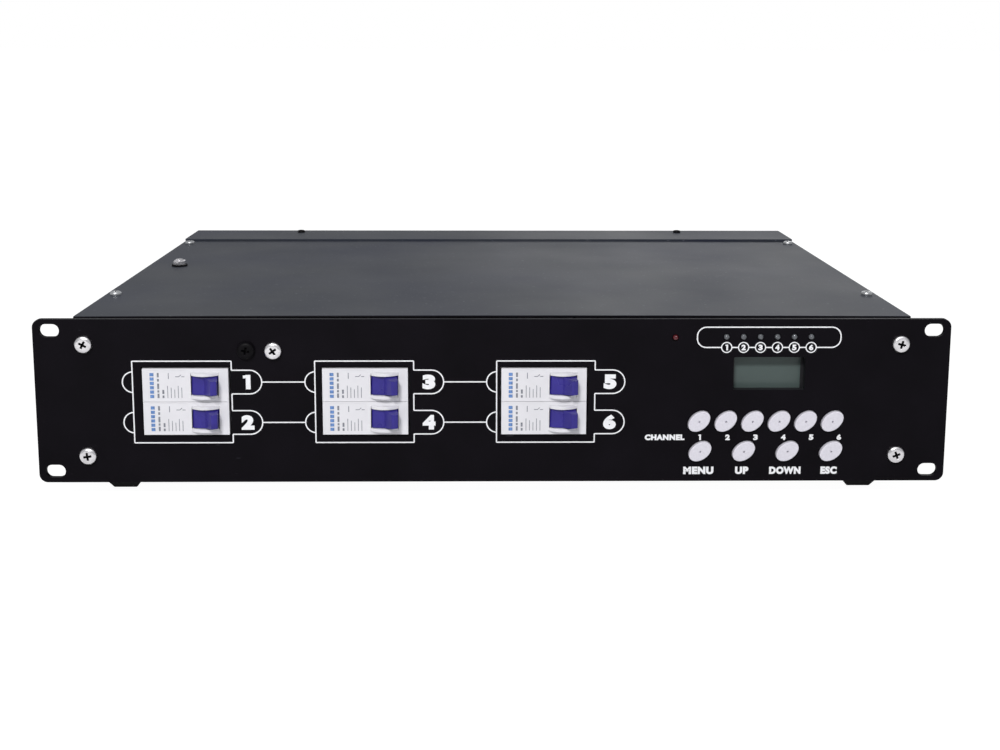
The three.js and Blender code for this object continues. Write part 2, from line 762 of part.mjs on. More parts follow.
// Breaker: the moulded case with its nose, the cheeks beside the toggle and the rail notch
function breaker() {
  const halfFace = breakerFaceLength / 2;
  const halfCase = breakerBodyLength / 2;
  const shoulder = breakerNoseDepth;
  const back = breakerDepth;
  const lipFloor = back - railHook - railSheet - 2 * runningGap;
  const halfLip = railWidth / 2 + runningGap;
  const halfMouth = halfLip - railHook;
  const outline = polygon([
    [-halfFace, 0], [halfFace, 0], [halfFace, shoulder], [halfCase, shoulder], [halfCase, back],
    [halfMouth, back], [halfMouth, back - railHook], [halfLip, back - railHook], [halfLip, lipFloor],
    [-halfLip, lipFloor], [-halfLip, back - railHook], [-halfMouth, back - railHook],
    [-halfMouth, back], [-halfCase, back], [-halfCase, shoulder], [-halfFace, shoulder],
  ]);
  const halfWidth = breakerWidth / 2;
  const halfSlot = toggleHeight / 2 + seatGap;
  const cheekRadius = Math.hypot(cheekHalfChord, togglePivotDepth);
  const pivot = [toggleOffset, togglePivotDepth];
  const cheek = halfSlot + cheekThickness;
  const behindFace = block([-halfFace, halfFace], [-cheekRadius, 0], [-cheek, cheek]);
  const cheeks = barZ(cheekRadius, [-cheek, cheek], pivot, caseSides).intersect(behindFace);
  const overlap = block(
    [toggleOffset - cheekHalfChord, toggleOffset + cheekHalfChord],
    [-fusedDepth / 2, fusedDepth],
    [-cheek, cheek],
  );
  let body = join(plateZ(outline, [-halfWidth, halfWidth]), cheeks, overlap);
  body = cut(body, barZ(toggleSweep + runningGap, [-halfSlot, halfSlot], pivot, caseSides));
  const mouth = [toggleOffset - cheekHalfChord + seatGap, toggleOffset + cheekHalfChord - seatGap];
  body = cut(body, block(mouth, [-cheekRadius, togglePivotDepth], [-halfSlot, halfSlot]));
  const pinReach = halfSlot + togglePinLength + seatGap;
  return cut(body, barZ(togglePinRadius + seatGap, [-pinReach, pinReach], pivot, outlineStep));
}

// Toggle: a hub with its pins, a drum sector that closes the slot, and the nose that a finger moves
function breakerToggle() {
  const turn = degrees(toggleRestAngle);
  const sector = degrees(toggleSectorAngle);
  const point = (radius, angle) => [radius * Math.sin(angle), -radius * Math.cos(angle)];
  const step = (2 * sector) / outlineStep;
  const drum = range(outlineStep + 1).map((i) => point(toggleDrumRadius, i * step - sector));
  const sectorShape = polygon([...drum, point(toggleHubRadius, sector), point(toggleHubRadius, -sector)]);
  const chamfer = toggleTipHalf / 2;
  const nose = polygon([
    [-toggleRootHalf, -toggleRootRadius], [toggleRootHalf, -toggleRootRadius],
    [toggleTipHalf, -toggleNoseRadius + chamfer], [toggleTipHalf - chamfer, -toggleNoseRadius],
    [chamfer - toggleTipHalf, -toggleNoseRadius], [-toggleTipHalf, -toggleNoseRadius + chamfer],
  ]);
  const level = [-toggleHeight / 2, toggleHeight / 2];
  const pin = toggleHeight / 2 + togglePinLength;
  const upright = join(
    plateZ(sectorShape, level),
    plateZ(nose, level),
    barZ(toggleHubRadius, level, [0, 0], smallRoundSides),
    barZ(togglePinRadius, [-pin, pin], [0, 0], outlineStep),
  );
  return upright.rotate([0, 0, THREE.MathUtils.radToDeg(turn)]);
}

// Bracket: an upright sheet on the floor with a top hat rail for each pair of breakers
function breakerBracket() {
  const underside = floorTop + seatGap;
  const left = windowXs[0] - railWidth / 2 - bracketOverhang;
  const right = windowXs[breakerColumns - 1] + railWidth / 2 + bracketOverhang;
  const sheet = [bracketFront, bracketFront + bracketSheet];
  const flange = [bracketFront, bracketFront + bracketFootDepth];
  let bracket = join(
    block([left, right], sheet, [underside, underside + bracketHeight]),
    block([left, right], flange, [underside, underside + bracketSheet]),
  );
  const lip = bracketFront - railDepth;
  const rise = [panelMiddle - stackHeight / 2, panelMiddle + stackHeight / 2];
  for (const x of windowXs) {
    for (const side of [-1, 1]) {
      const span = (outer, inner) => [x + side * outer, x + side * inner].sort((a, b) => a - b);
      const crown = railCrownWidth / 2;
      bracket = join(
        bracket,
        block(span(railWidth / 2, crown - railSheet), [lip, lip + railSheet], rise),
        block(span(crown, crown - railSheet), [lip, bracketFront + fusedDepth], rise),
      );
    }
  }
  return bracket;
}

// Push button: an oval cap, a skirt that stops it behind the panel, and a stem for its switch
function pushButton(tilt) {
  const skirtFront = panelThickness + seatGap;
  const skirtBack = skirtFront + buttonSkirtThickness;
  const stemEnd = controlBoardSetBack - switchHeight - buttonTravel - seatGap;
  const capProfile = capRadiusShares.map((radius, i) => [
    radius * buttonHalfWidth, panelThickness - capRiseShares[i] * (buttonProud + panelThickness)]);
  const profile = [
    ...capProfile,
    [buttonHalfWidth, skirtFront],
    [buttonHalfWidth + buttonSkirtMargin, skirtFront],
    [buttonHalfWidth + buttonSkirtMargin, skirtBack],
    [buttonStemRadius, skirtBack],
    [buttonStemRadius, stemEnd],
    [0, stemEnd],
  ];
  const button = new THREE.LatheGeometry(profile.map(([r, y]) => new THREE.Vector2(r, y)), roundSides);
  const stretch = buttonHalfLength / buttonHalfWidth;
  return solid(button.scale(stretch, 1, 1).rotateY(-degrees(tilt)));
}

// Display glass behind its window
function displayGlass() {
  const halfLength = displayWidth / 2 + glassMargin;
  const halfRise = displayHeight / 2 + glassMargin;
  const depth = [displaySetBack, displaySetBack + glassThickness];
  return block([-halfLength, halfLength], depth, [-halfRise, halfRise]);
}

// A lamp's lens: a rod with a domed tip in front of the panel
function lens(x, z) {
  const back = controlBoardSetBack - seatGap - ledCarrierThickness + fusedDepth;
  const tip = lensRadiusShares.map((share, i) => [share * ledRadius, -lensRiseShares[i] * ledProud]);
  return turned([...tip, [ledRadius, back], [0, back]], smallRoundSides).translate([x, 0, z]);
}

// Lamps of the six channels on one carrier strip
function channelLedBar() {
  const half = ledRadius + ledCarrierMargin;
  const back = controlBoardSetBack - seatGap;
  const span = (ledCount - 1) * ledPitch;
  const strip = block([-half, span + half], [back - ledCarrierThickness, back], [-half, half]);
  return join(strip, ...range(ledCount).map((i) => lens(i * ledPitch, 0)));
}

function powerLed() {
  const half = ledRadius + ledCarrierMargin;
  const back = controlBoardSetBack - seatGap;
  return join(block([-half, half], [back - ledCarrierThickness, back], [-half, half]), lens(0, 0));
}

// Control board: the board, its four spacers, the key switches and the holder of the display
function controlBoard() {
  const sheet = [controlBoardSetBack, controlBoardSetBack + boardThickness];
  let board = block([controlBoardLeft, controlBoardRight], sheet, [controlBoardBottom, controlBoardTop]);
  const spacer = [panelThickness + seatGap, controlBoardSetBack + fusedDepth];
  for (const x of [controlBoardLeft + spacerInset, controlBoardRight - spacerInset]) {
    for (const z of [controlBoardBottom + spacerInset, controlBoardTop - spacerInset]) {
      board = join(board, barY(spacerRadius, spacer, [x, z], outlineStep));
    }
  }
  const half = switchSide / 2;
  const keys = [
    ...channelButtonXs.map((x) => [x, channelButtonZ]),
    ...menuButtonXs.map((x) => [x, menuButtonZ]),
  ];
  for (const [x, z] of keys) {
    const depth = [controlBoardSetBack - switchHeight, controlBoardSetBack + fusedDepth];
    board = join(board, block([x - half, x + half], depth, [z - half, z + half]));
  }
  const holderX = displayWidth / 2 + glassMargin;
  const holderZ = displayHeight / 2 + glassMargin;
  const holderFront = displaySetBack + glassThickness + seatGap;
  const holder = block(
    [displayX - holderX, displayX + holderX],
    [holderFront, controlBoardSetBack + fusedDepth],
    [displayZ - holderZ, displayZ + holderZ],
  );
  return join(board, holder);
}

// Power board: the board with six suppression capacitors and six triacs at its right edge
function powerBoard() {
  const sheet = [powerBoardUnder, powerBoardTop];
  let board = block([powerBoardLeft, powerBoardRight], [powerBoardFront, powerBoardBack], sheet);
  const channels = breakerColumns * breakerRows;
  const stepX = (powerBoardRight - triacLane - powerBoardLeft) / channels;
  const stepY = powerBoardDepth / channels;
  for (const i of range(channels)) {
    const x = powerBoardLeft + (i + 0.5) * stepX;
    const y = powerBoardBack - capacitorBackInset;
    board = join(board, block(
      [x - capacitorLength / 2, x + capacitorLength / 2],
      [y - capacitorWidth / 2, y + capacitorWidth / 2],
      [powerBoardTop - fusedDepth, powerBoardTop + capacitorHeight],
    ));
    const triacY = powerBoardFront + (i + 0.5) * stepY;
    const triacRight = powerBoardRight + triacEdgeInset;
    const triacLeft = triacRight - triacThickness;
    const middle = (triacLeft + triacRight) / 2;
    const legs = [middle - triacLegsThickness / 2, middle + triacLegsThickness / 2];
    board = join(
      board,
      block([triacLeft, triacRight], [triacY - triacWidth / 2, triacY + triacWidth / 2],
        [powerBoardTop + triacStandoff, powerBoardTop + triacStandoff + triacHeight]),
      block(legs, [triacY - triacLegsWidth / 2, triacY + triacLegsWidth / 2],
        [powerBoardTop - fusedDepth, powerBoardTop + triacStandoff + fusedDepth]),
    );
  }
  return board;
}

// Heat sink: an extruded comb that lies along the air stream
function heatsink() {
  const underside = floorTop + seatGap;
  const bar = [sinkFront, sinkBack];
  let sink = block([sinkLeft, sinkLeft + sinkBase], bar, [underside, underside + sinkHeight]);
  const step = (sinkHeight - sinkFinThickness) / (sinkFinCount - 1);
  for (const i of range(sinkFinCount)) {
    const z = underside + i * step;
    const across = [sinkLeft + sinkBase - fusedDepth, sinkRight];
    sink = join(sink, block(across, bar, [z, z + sinkFinThickness]));
  }
  return sink;
}

// Choke: a wound ring with broken edges, lying on the power board
function choke() {
  const [inner, outer, r] = [chokeHoleRadius, chokeRadius, chokeRounding];
  const section = [
    [inner + r, 0], [outer - r, 0], [outer, r], [outer, chokeHeight - r],
    [outer - r, chokeHeight], [inner + r, chokeHeight], [inner, chokeHeight - r], [inner, r], [inner + r, 0],
  ];
  const lathe = new THREE.LatheGeometry(section.map(([x, y]) => new THREE.Vector2(x, y)), ovalSides);
  return solid(lathe.rotateX(Math.PI / 2));
}

// Transformer: a laminated core around its coil, on two ears
function transformer() {
  const half = (value) => [-value / 2, value / 2];
  const coilFoot = (transformerHeight - transformerCoilHeight) / 2;
  const coilRise = [coilFoot, coilFoot + transformerCoilHeight];
  let body = join(
    block(half(transformerLength), half(transformerWidth), [0, transformerHeight]),
    block(half(transformerCoilLength), half(transformerCoilWidth), coilRise),
    block(half(transformerEarLength), half(transformerWidth), [0, transformerEarThickness]),
  );
  for (const side of [-1, 1]) {
    const place = [side * (transformerEarLength / 2 - transformerEarHoleInset), 0];
    const through = [-cutOverrun, transformerEarThickness + cutOverrun];
    body = cut(body, barZ(transformerEarHoleRadius, through, place, outlineStep));
  }
  return body;
}

// Fan frame: a square duct with the struts and the motor plate at its back
function fanFrame() {
  const depth = [-fanDepth, 0];
  let frame = plateY(roundedRectangle(fanSide, fanSide, fanCornerRadius), depth, cornerSteps);
  frame = cut(frame, barY(fanBoreRadius, [-fanDepth - cutOverrun, cutOverrun], [0, 0], caseSides));
  for (const side of [-1, 1]) {
    for (const level of [-1, 1]) {
      const place = [(side * fanScrewSpan) / 2, (level * fanScrewSpan) / 2];
      const hole = barY(fanScrewHoleRadius, [-fanDepth - cutOverrun, cutOverrun], place, outlineStep);
      frame = cut(frame, hole);
    }
  }
  const plate = [-fanMotorThickness, 0];
  frame = join(frame, barY(fanHubRadius, plate, [0, 0]));
  const half = fanStrutWidth / 2;
  for (const i of range(fanStrutCount)) {
    const reach = fanBoreRadius + fusedDepth;
    const strut = block([fanHubRadius - fusedDepth, reach], plate, [-half, half]);
    frame = join(frame, strut.rotate([0, fanStrutFirstAngle + (i * 360) / fanStrutCount, 0]));
  }
  const bush = [-fanMotorThickness - fanBushRadius, -fanMotorThickness + fusedDepth];
  frame = join(frame, barY(fanBushRadius, bush, [0, 0], smallRoundSides));
  const bore = [bush[0] - cutOverrun, -seatGap];
  return cut(frame, barY(fanShaftRadius + seatGap, bore, [0, 0], smallRoundSides));
}

// Fan rotor: a cup over the motor with its blades and the shaft that turns in the frame's bush
function fanRotor() {
  const back = -fanMotorThickness - runningGap;
  const front = back - fanHubDepth;
  const wall = fanBladeThickness;
  let rotor = barY(fanHubRadius, [front, back], [0, 0]);
  rotor = cut(rotor, barY(fanHubRadius - wall, [front + wall, back + cutOverrun], [0, 0]));
  const shaft = [front + wall - fusedDepth, -seatGap - runningGap];
  rotor = join(rotor, barY(fanShaftRadius, shaft, [0, 0], smallRoundSides));
  const reach = fanBoreRadius - fanBladeGap;
  const keep = barY(reach, [front, back], [0, 0], caseSides);
  const middle = (front + back) / 2;
  for (const i of range(fanBladeCount)) {
    const blade = block(
      [fanHubRadius - wall / 2, fanBoreRadius],
      [-fanBladeThickness / 2, fanBladeThickness / 2],
      [-fanBladeDepth / 2, fanBladeDepth / 2],
    ).rotate([90 - fanBladePitchAngle, 0, 0]).translate([0, middle, 0]).intersect(keep);
    rotor = join(rotor, blade.rotate([0, (i * 360) / fanBladeCount, 0]));
  }
  return rotor;
}

// The outside that both signal sockets share, with its mouth at Y zero
function socketShell() {
  const flange = roundedRectangle(socketFlangeWidth, socketFlangeHeight, socketFlangeCorner);
  return join(
    plateY(flange, [-socketFlangeThickness, 0], cornerSteps),
    barY(socketBodyRadius, [-socketBodyDepth, -socketFlangeThickness + fusedDepth], [0, 0]),
  );
}

const pinPlaces = socketPinAngles.map((angle) => [
  socketPinCircle * Math.cos(degrees(angle)), socketPinCircle * Math.sin(degrees(angle))]);

// Input socket: a cup with three pins
function inputSocket() {
  const body = cut(socketShell(), barY(socketCupRadius, [-socketCupDepth, cutOverrun], [0, 0]));
  const pins = pinPlaces.map((place) => barY(
    socketPinRadius, [-socketCupDepth - fusedDepth, -socketCupDepth + socketPinLength], place, outlineStep));
  return join(body, ...pins);
}

// Output socket: a core with three contacts inside a ring groove, and a notch for the latch
function outputSocket() {
  const groove = cut(
    barY(socketCupRadius, [-socketCupDepth, cutOverrun], [0, 0]),
    barY(socketCoreRadius, [-socketCupDepth - cutOverrun, 2 * cutOverrun], [0, 0]),
  );
  let body = cut(socketShell(), groove);
  for (const place of pinPlaces) {
    body = cut(body, barY(socketContactRadius, [-socketContactDepth, cutOverrun], place, outlineStep));
  }
  const halfNotch = latchWidth / 2 + seatGap;
  const bottom = socketBodyRadius - latchHeight / 2 - seatGap;
  const notch = block(
    [-halfNotch, halfNotch],
    [-latchLength - latchTravel - seatGap, cutOverrun],
    [bottom, bottom + latchHeight + 2 * seatGap],
  );
  return cut(body, notch);
}

// Latch of the output socket: a thumb tab that is pushed in to free the plug
function outputLatch() {
  const bottom = socketBodyRadius - latchHeight / 2;
  const depth = [-latchLength, latchProud];
  return block([-latchWidth / 2, latchWidth / 2], depth, [bottom, bottom + latchHeight]);
}

// Cable gland: thread through the panel, lock nut inside, hexagon and dome nut outside
function cableGland() {
  const hex = [seatGap, seatGap + glandHexThickness];
  const nut = [-sheetThickness - seatGap - glandNutThickness, -sheetThickness - seatGap];
  const tail = nut[0] - glandThreadTail;
  const domeEnd = hex[1] + glandDomeLength;
  const dome = turned([
    [0, hex[1] - fusedDepth],
    [glandDomeRadius, hex[1] - fusedDepth],
    [glandDomeRadius, hex[1] + glandDomeLength * glandShoulderShare],
    [glandDomeRadius * glandMouthShare, domeEnd],
    [0, domeEnd],
  ]);
  const body = join(
    barY(glandHexRadius, hex, [0, 0], glandSides),
    barY(glandHexRadius, nut, [0, 0], glandSides),
    barY(glandThreadRadius, [tail, hex[0] + fusedDepth], [0, 0]),
    dome,
  );
  return cut(body, barY(glandBoreRadius, [tail - cutOverrun, domeEnd + cutOverrun], [0, 0]));
}

// Terminal block: a row of ways, each with a screw from above and a wire hole from the back
function terminalBlock() {
  const length = terminalWays * terminalPitch;
  let body = block([-length / 2, length / 2], [-terminalDepth, 0], [0, terminalHeight]);
  for (const i of range(terminalWays)) {
    const x = (i + 0.5) * terminalPitch - length / 2;
    const screw = [terminalHeight - terminalScrewDepth, terminalHeight + cutOverrun];
    body = cut(body, barZ(terminalScrewHoleRadius, screw, [x, -terminalDepth / 2], outlineStep / 2));
    const half = terminalWireHole / 2;
    body = cut(body, block(
      [x - half, x + half],
      [-terminalWireDepth, cutOverrun],
      [terminalWireRise - half, terminalWireRise + half],
    ));
  }
  return body;
}

const pack = new THREE.Group();

// Casing
pack.add(
  named('front_panel', frontPanel(), finishes.panelBlack),
  named('chassis_tray', chassisTray(), finishes.coverGrey),
  named('rear_panel', rearPanel(), finishes.coverGrey),
  named('top_cover', topCover(), finishes.coverGrey),
  named('terminal_cover', terminalCover(), finishes.coverGrey),
  named('cover_bolt', coverBolt(), finishes.nickel, [coverBoltX, coverBoltY, 0]),
);
for (const [name, x, z, finish, withNut] of panelScrews) {
  pack.add(named(name, panelScrew(withNut), finish, [x, 0, z]));
}
for (const [side, sideName] of [[-1, 'left'], [1, 'right']]) {
  const x = side * (halfBody - footInsetX);
  const z = floorLift - seatGap - footHeight;
  pack.add(
    named(`foot_front_${sideName}`, foot(), finishes.rubber, [x, bodyFront + footInsetY, z]),
    named(`foot_rear_${sideName}`, foot(), finishes.rubber, [x, bodyBack - footInsetY, z]),
  );
}

// Breakers
pack.add(named('breaker_bracket', breakerBracket(), finishes.zinc));
const breakerCase = breaker();
const toggleBody = breakerToggle();
windowXs.forEach((x, column) => {
  for (const row of range(breakerRows)) {
    const number = column * breakerRows + row + 1;
    const rise = ((breakerRows - 1) / 2 - row) * (breakerWidth + breakerStackGap);
    const unit = new THREE.Group();
    const pivot = [toggleOffset, togglePivotDepth, 0];
    unit.position.set(x, breakerFaceY, panelMiddle + rise);
    unit.add(
      named(`breaker_${number}`, breakerCase, finishes.breakerWhite),
      named(`breaker_toggle_${number}`, toggleBody, finishes.toggleBlue, pivot),
    );
    pack.add(unit);
  }
});

// Controls
const channelButton = pushButton(channelButtonTilt);
channelButtonXs.forEach((x, i) => {
  pack.add(named(`channel_button_${i + 1}`, channelButton, finishes.buttonGrey, [x, 0, channelButtonZ]));
});
const menuButton = pushButton(menuButtonTilt);
menuButtonXs.forEach((x, i) => {
  pack.add(named(menuButtonNames[i], menuButton, finishes.buttonGrey, [x, 0, menuButtonZ]));
});
pack.add(
  named('display_glass', displayGlass(), finishes.displayGreen, [displayX, 0, displayZ]),
  named('control_board', controlBoard(), finishes.boardGreen),
  named('channel_led_bar', channelLedBar(), finishes.lampClear, [ledFirstX, 0, ledZ]),
  named('power_led', powerLed(), finishes.lampRed, [powerLedX, 0, powerLedZ]),
);

// Power side
pack.add(
  named('power_board', powerBoard(), finishes.boardBrown),
  named('heatsink', heatsink(), finishes.aluminium),
  named('transformer', transformer(), finishes.coreSteel, [transformerX, transformerY, floorTop + seatGap]),
);
const chokeBody = choke();
for (const row of range(chokeRows)) {
  for (const column of range(chokeColumns)) {
    const x = (powerBoardLeft + powerBoardRight) / 2 + (column - (chokeColumns - 1) / 2) * chokePitchX;
    const middleY = (powerBoardFront + powerBoardBack) / 2 - chokeBackShift;
    const y = middleY + (row - (chokeRows - 1) / 2) * chokePitchY;
    const name = `choke_${row * chokeColumns + column + 1}`;
    pack.add(named(name, chokeBody, finishes.copperWinding, [x, y, powerBoardTop + seatGap]));
  }
}

// Rear
const outside = bodyBack + seatGap + socketFlangeThickness;
pack.add(
  named('fan_frame', fanFrame(), finishes.plasticBlack, [fanX, wallBack, rearMiddle]),
  named('fan_rotor', fanRotor(), finishes.plasticBlack, [fanX, wallBack, rearMiddle]),
  named('dmx_input_socket', inputSocket(), finishes.nickel, [inputSocketX, outside, rearMiddle]),
  named('dmx_output_socket', outputSocket(), finishes.nickel, [outputSocketX, outside, rearMiddle]),
  named('dmx_output_latch', outputLatch(), finishes.plasticBlack, [outputSocketX, outside, rearMiddle]),
  named('mains_gland', cableGland(), finishes.plasticBlack, [mainsGlandX, bodyBack, rearMiddle]),
  named('load_gland', cableGland(), finishes.plasticBlack, [loadGlandX, bodyBack, rearMiddle]),
  named('terminal_block', terminalBlock(), finishes.plasticGrey,
    [terminalX, bodyBack - terminalBackInset, floorTop + seatGap]),
);

// Origin under the middle of the box, on the surface that the feet stand on
const box = new THREE.Box3().setFromObject(pack);
pack.position.set(0, -(box.min.y + box.max.y) / 2, -box.min.z);
const dimmerPack = new THREE.Group();
dimmerPack.add(pack);

export default dimmerPack;
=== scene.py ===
# %% [markdown]
# # A dimmer pack for a 19 inch rack
# The construction comes first and is fixed: sixty solids at their real size, already placed. This
# lesson gives them their looks. Where a solid is only coarse, a finer piece is modelled over it and
# stands for it. Where its shape is right, it stays and only gets a finish.
# Blender works in metres here. X runs to the right along the front panel, Y to the back, Z up.
# Named sizes are millimetres, as on a drawing, and become metres where a piece is made.

# %% Load the frame
import json
import math
from contextlib import contextmanager

import bmesh
import bpy
from mathutils import Matrix, Vector


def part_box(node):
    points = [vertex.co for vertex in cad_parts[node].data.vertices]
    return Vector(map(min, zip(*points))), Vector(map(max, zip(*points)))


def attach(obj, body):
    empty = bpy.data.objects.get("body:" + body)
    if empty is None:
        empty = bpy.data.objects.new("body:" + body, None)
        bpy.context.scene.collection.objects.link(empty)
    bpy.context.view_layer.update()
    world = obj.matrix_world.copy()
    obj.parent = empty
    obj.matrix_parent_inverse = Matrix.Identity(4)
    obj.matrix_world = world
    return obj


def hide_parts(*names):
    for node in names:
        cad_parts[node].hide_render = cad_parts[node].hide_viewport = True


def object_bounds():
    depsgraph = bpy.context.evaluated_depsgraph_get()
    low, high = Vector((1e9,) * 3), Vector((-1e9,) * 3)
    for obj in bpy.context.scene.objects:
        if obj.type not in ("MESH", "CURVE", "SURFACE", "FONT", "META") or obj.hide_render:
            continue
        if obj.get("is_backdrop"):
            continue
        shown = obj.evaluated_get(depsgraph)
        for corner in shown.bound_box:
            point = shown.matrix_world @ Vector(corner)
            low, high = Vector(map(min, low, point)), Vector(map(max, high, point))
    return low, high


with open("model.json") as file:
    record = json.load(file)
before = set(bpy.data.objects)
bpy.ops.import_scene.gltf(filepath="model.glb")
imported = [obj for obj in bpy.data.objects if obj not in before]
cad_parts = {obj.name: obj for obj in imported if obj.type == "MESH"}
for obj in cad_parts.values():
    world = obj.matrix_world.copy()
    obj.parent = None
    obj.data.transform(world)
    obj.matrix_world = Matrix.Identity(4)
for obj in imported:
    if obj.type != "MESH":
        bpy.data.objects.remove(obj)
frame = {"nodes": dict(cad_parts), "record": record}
cad_low, cad_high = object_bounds()

# %% Datums
MM = 0.001
X, Y, Z = 0, 1, 2
PANEL_LOW, PANEL_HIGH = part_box("front_panel")
TRAY_LOW, TRAY_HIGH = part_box("chassis_tray")
COVER_LOW, COVER_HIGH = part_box("top_cover")
FACE_Y = PANEL_LOW.y


def at(x, y, z):
    """A place in millimetres from the middle of the panel's lower edge, on its front face."""
    return Vector((x * MM, FACE_Y + y * MM, PANEL_LOW.z + z * MM))


def mm(x, y, z):
    """A point of a pattern that is modelled round the origin, in millimetres."""
    return Vector((x, y, z)) * MM


def extent(node_name):
    """The lowest and the highest corner of a node's box, in millimetres as at() takes them."""
    return [(corner - at(0, 0, 0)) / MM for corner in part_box(node_name)]


def spot(node_name):
    """Where the middle of a node lies along the panel and up it."""
    low, high = extent(node_name)
    middle = (low + high) / 2
    return middle.x, middle.z


print("panel face at y", round(FACE_Y, 5), "lower edge at z", round(PANEL_LOW.z, 5))

# %% [markdown]
# ## The camera
# The camera stands where the photograph was taken from. Its place and its three angles come from
# matching thirty points of the panel and the cover, whose sizes are known. The picture was cropped
# after it was taken, so the lens's axis meets it above the middle, and a vertical shift says that.

# %% Camera
IMAGE_WIDTH, IMAGE_HEIGHT = 1000, 750
FOCAL_PIXELS = 1334.29
AXIS_PIXEL_Y = 255.45
SENSOR = 36
CAMERA_PLACE = at(-8.13, -685.45, 230.51)
PITCH, YAW, ROLL = 0.1566, 0.0162, -0.003

forward = Vector((
    math.sin(YAW) * math.cos(PITCH), math.cos(YAW) * math.cos(PITCH), -math.sin(PITCH)))
level_right = Vector((math.cos(YAW), -math.sin(YAW), 0))
level_down = forward.cross(level_right)
right = level_right * math.cos(ROLL) + level_down * math.sin(ROLL)
down = level_down * math.cos(ROLL) - level_right * math.sin(ROLL)

bpy.ops.object.camera_add()
camera = bpy.context.object
camera.name = "camera"
camera.data.sensor_width = SENSOR
camera.data.lens = FOCAL_PIXELS / IMAGE_WIDTH * SENSOR
camera.data.shift_y = (AXIS_PIXEL_Y - IMAGE_HEIGHT / 2) / IMAGE_WIDTH
turn = Matrix((right, -down, -forward)).transposed().to_4x4()
camera.matrix_world = Matrix.Translation(CAMERA_PLACE) @ turn
bpy.context.scene.camera = camera
bpy.context.scene.view_settings.view_transform = "Standard"
print("camera at", [round(value, 4) for value in camera.location])

# %% [markdown]
# ## Light and floor
# The photograph is a plain product shot. A small lamp above and left of the camera throws the short
# shadows under the toggles, a wide one fills them, a weaker one stands behind on the right, and all
# round it is white. White keeps to what the camera and glass see. Metal and paint mirror a room of
# about a third of that brightness, so it does not flood the dark paint. The floor is white too but
# still takes the pack's soft shadow.

# %% Lamps


def soft_lamp(name, place, target, size, watts):
    """A rectangular lamp that faces its target; all in metres."""
    bpy.ops.object.light_add(type="AREA", location=place)
    lamp = bpy.context.object
    lamp.name = name
    lamp.data.shape = "RECTANGLE"
    lamp.data.size, lamp.data.size_y = size
    lamp.data.energy = watts
    lamp.rotation_euler = (Vector(target) - Vector(place)).to_track_quat("-Z", "Y").to_euler()


soft_lamp("key_lamp", (-0.4, -1.75, 1.4), (0, 0, 0.05), (0.42, 0.3), 33)
soft_lamp("fill_lamp", (0.2, -1.2, 1.7), (0, 0, 0.05), (1.6, 0.9), 6)
soft_lamp("back_lamp", (0.9, 1.9, 0.6), (0.1, 0.15, 0.09), (1.9, 0.5), 2.6)

# %% What looks white
WHITE = (1, 1, 1, 1)
MIRRORED = 0.3


def calculated(tree, operation, first, second):
    """A Math node on a socket and on another socket or a number."""
    math_node = tree.nodes.new("ShaderNodeMath")
    math_node.operation = operation
    tree.links.new(first, math_node.inputs[0])
    if isinstance(second, (int, float)):
        math_node.inputs[1].default_value = second
    else:
        tree.links.new(second, math_node.inputs[1])
    return math_node.outputs[0]


def sees_white(tree):
    """One where a ray comes from the camera or glass, a share for a mirror, and zero elsewhere."""
    path = tree.nodes.new("ShaderNodeLightPath").outputs
    mirror = calculated(tree, "MULTIPLY", path["Is Glossy Ray"], MIRRORED)
    shiny = calculated(tree, "MAXIMUM", path["Is Transmission Ray"], mirror)
    return calculated(tree, "MAXIMUM", path["Is Camera Ray"], shiny)


def mixed(tree, share, first, second, surface):
    """Leads a mix of two shaders to a surface."""
    choice = tree.nodes.new("ShaderNodeMixShader")
    for source, socket in zip((share, first.outputs[0], second.outputs[0]), choice.inputs):
        tree.links.new(source, socket)
    tree.links.new(choice.outputs[0], surface.inputs["Surface"])


# %% World
ROOM_COLOUR, ROOM_STRENGTH = (0.92, 0.95, 1, 1), 0.29

world = bpy.data.worlds.new("studio")
bpy.context.scene.world = world
world.use_nodes = True
tree = world.node_tree
dim, bright = tree.nodes["Background"], tree.nodes.new("ShaderNodeBackground")
dim.inputs["Color"].default_value = ROOM_COLOUR
dim.inputs["Strength"].default_value = ROOM_STRENGTH
bright.inputs["Color"].default_value = WHITE
mixed(tree, sees_white(tree), dim, bright, tree.nodes["World Output"])
print("world:", world.name)

# %% Floor
FLOOR_SIZE, FLOOR_COLOUR = 120, (0.8, 0.8, 0.8, 1)
FLOOR_GLOW, FLOOR_GLOW_SHARE = 1.22, 0.8

bpy.ops.mesh.primitive_plane_add(size=FLOOR_SIZE)
floor = bpy.context.object
floor.name = "floor"
paper = bpy.data.materials.new("white_paper")
paper.use_nodes = True
tree = paper.node_tree
tree.nodes.clear()
matte, glow = tree.nodes.new("ShaderNodeBsdfDiffuse"), tree.nodes.new("ShaderNodeEmission")
matte.inputs["Color"].default_value = FLOOR_COLOUR
glow.inputs["Color"].default_value = WHITE
glow.inputs["Strength"].default_value = FLOOR_GLOW
share = calculated(tree, "MULTIPLY", sees_white(tree), FLOOR_GLOW_SHARE)
mixed(tree, share, matte, glow, tree.nodes.new("ShaderNodeOutputMaterial"))
floor.data.materials.append(paper)
floor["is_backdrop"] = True
print("floor:", FLOOR_SIZE, "m wide")

# %% [markdown]
# ## Finishes
# Each surface of the real pack is powder coat, plating, moulded plastic, rubber or bare metal. One
# recipe covers them: a base colour that drifts a little over the surface, a roughness that drifts
# with handling, and a fine relief for grain. Every pattern is read in object coordinates, so it
# keeps its real scale on every piece and stays where it is when a piece moves.

# %% Noise and colour


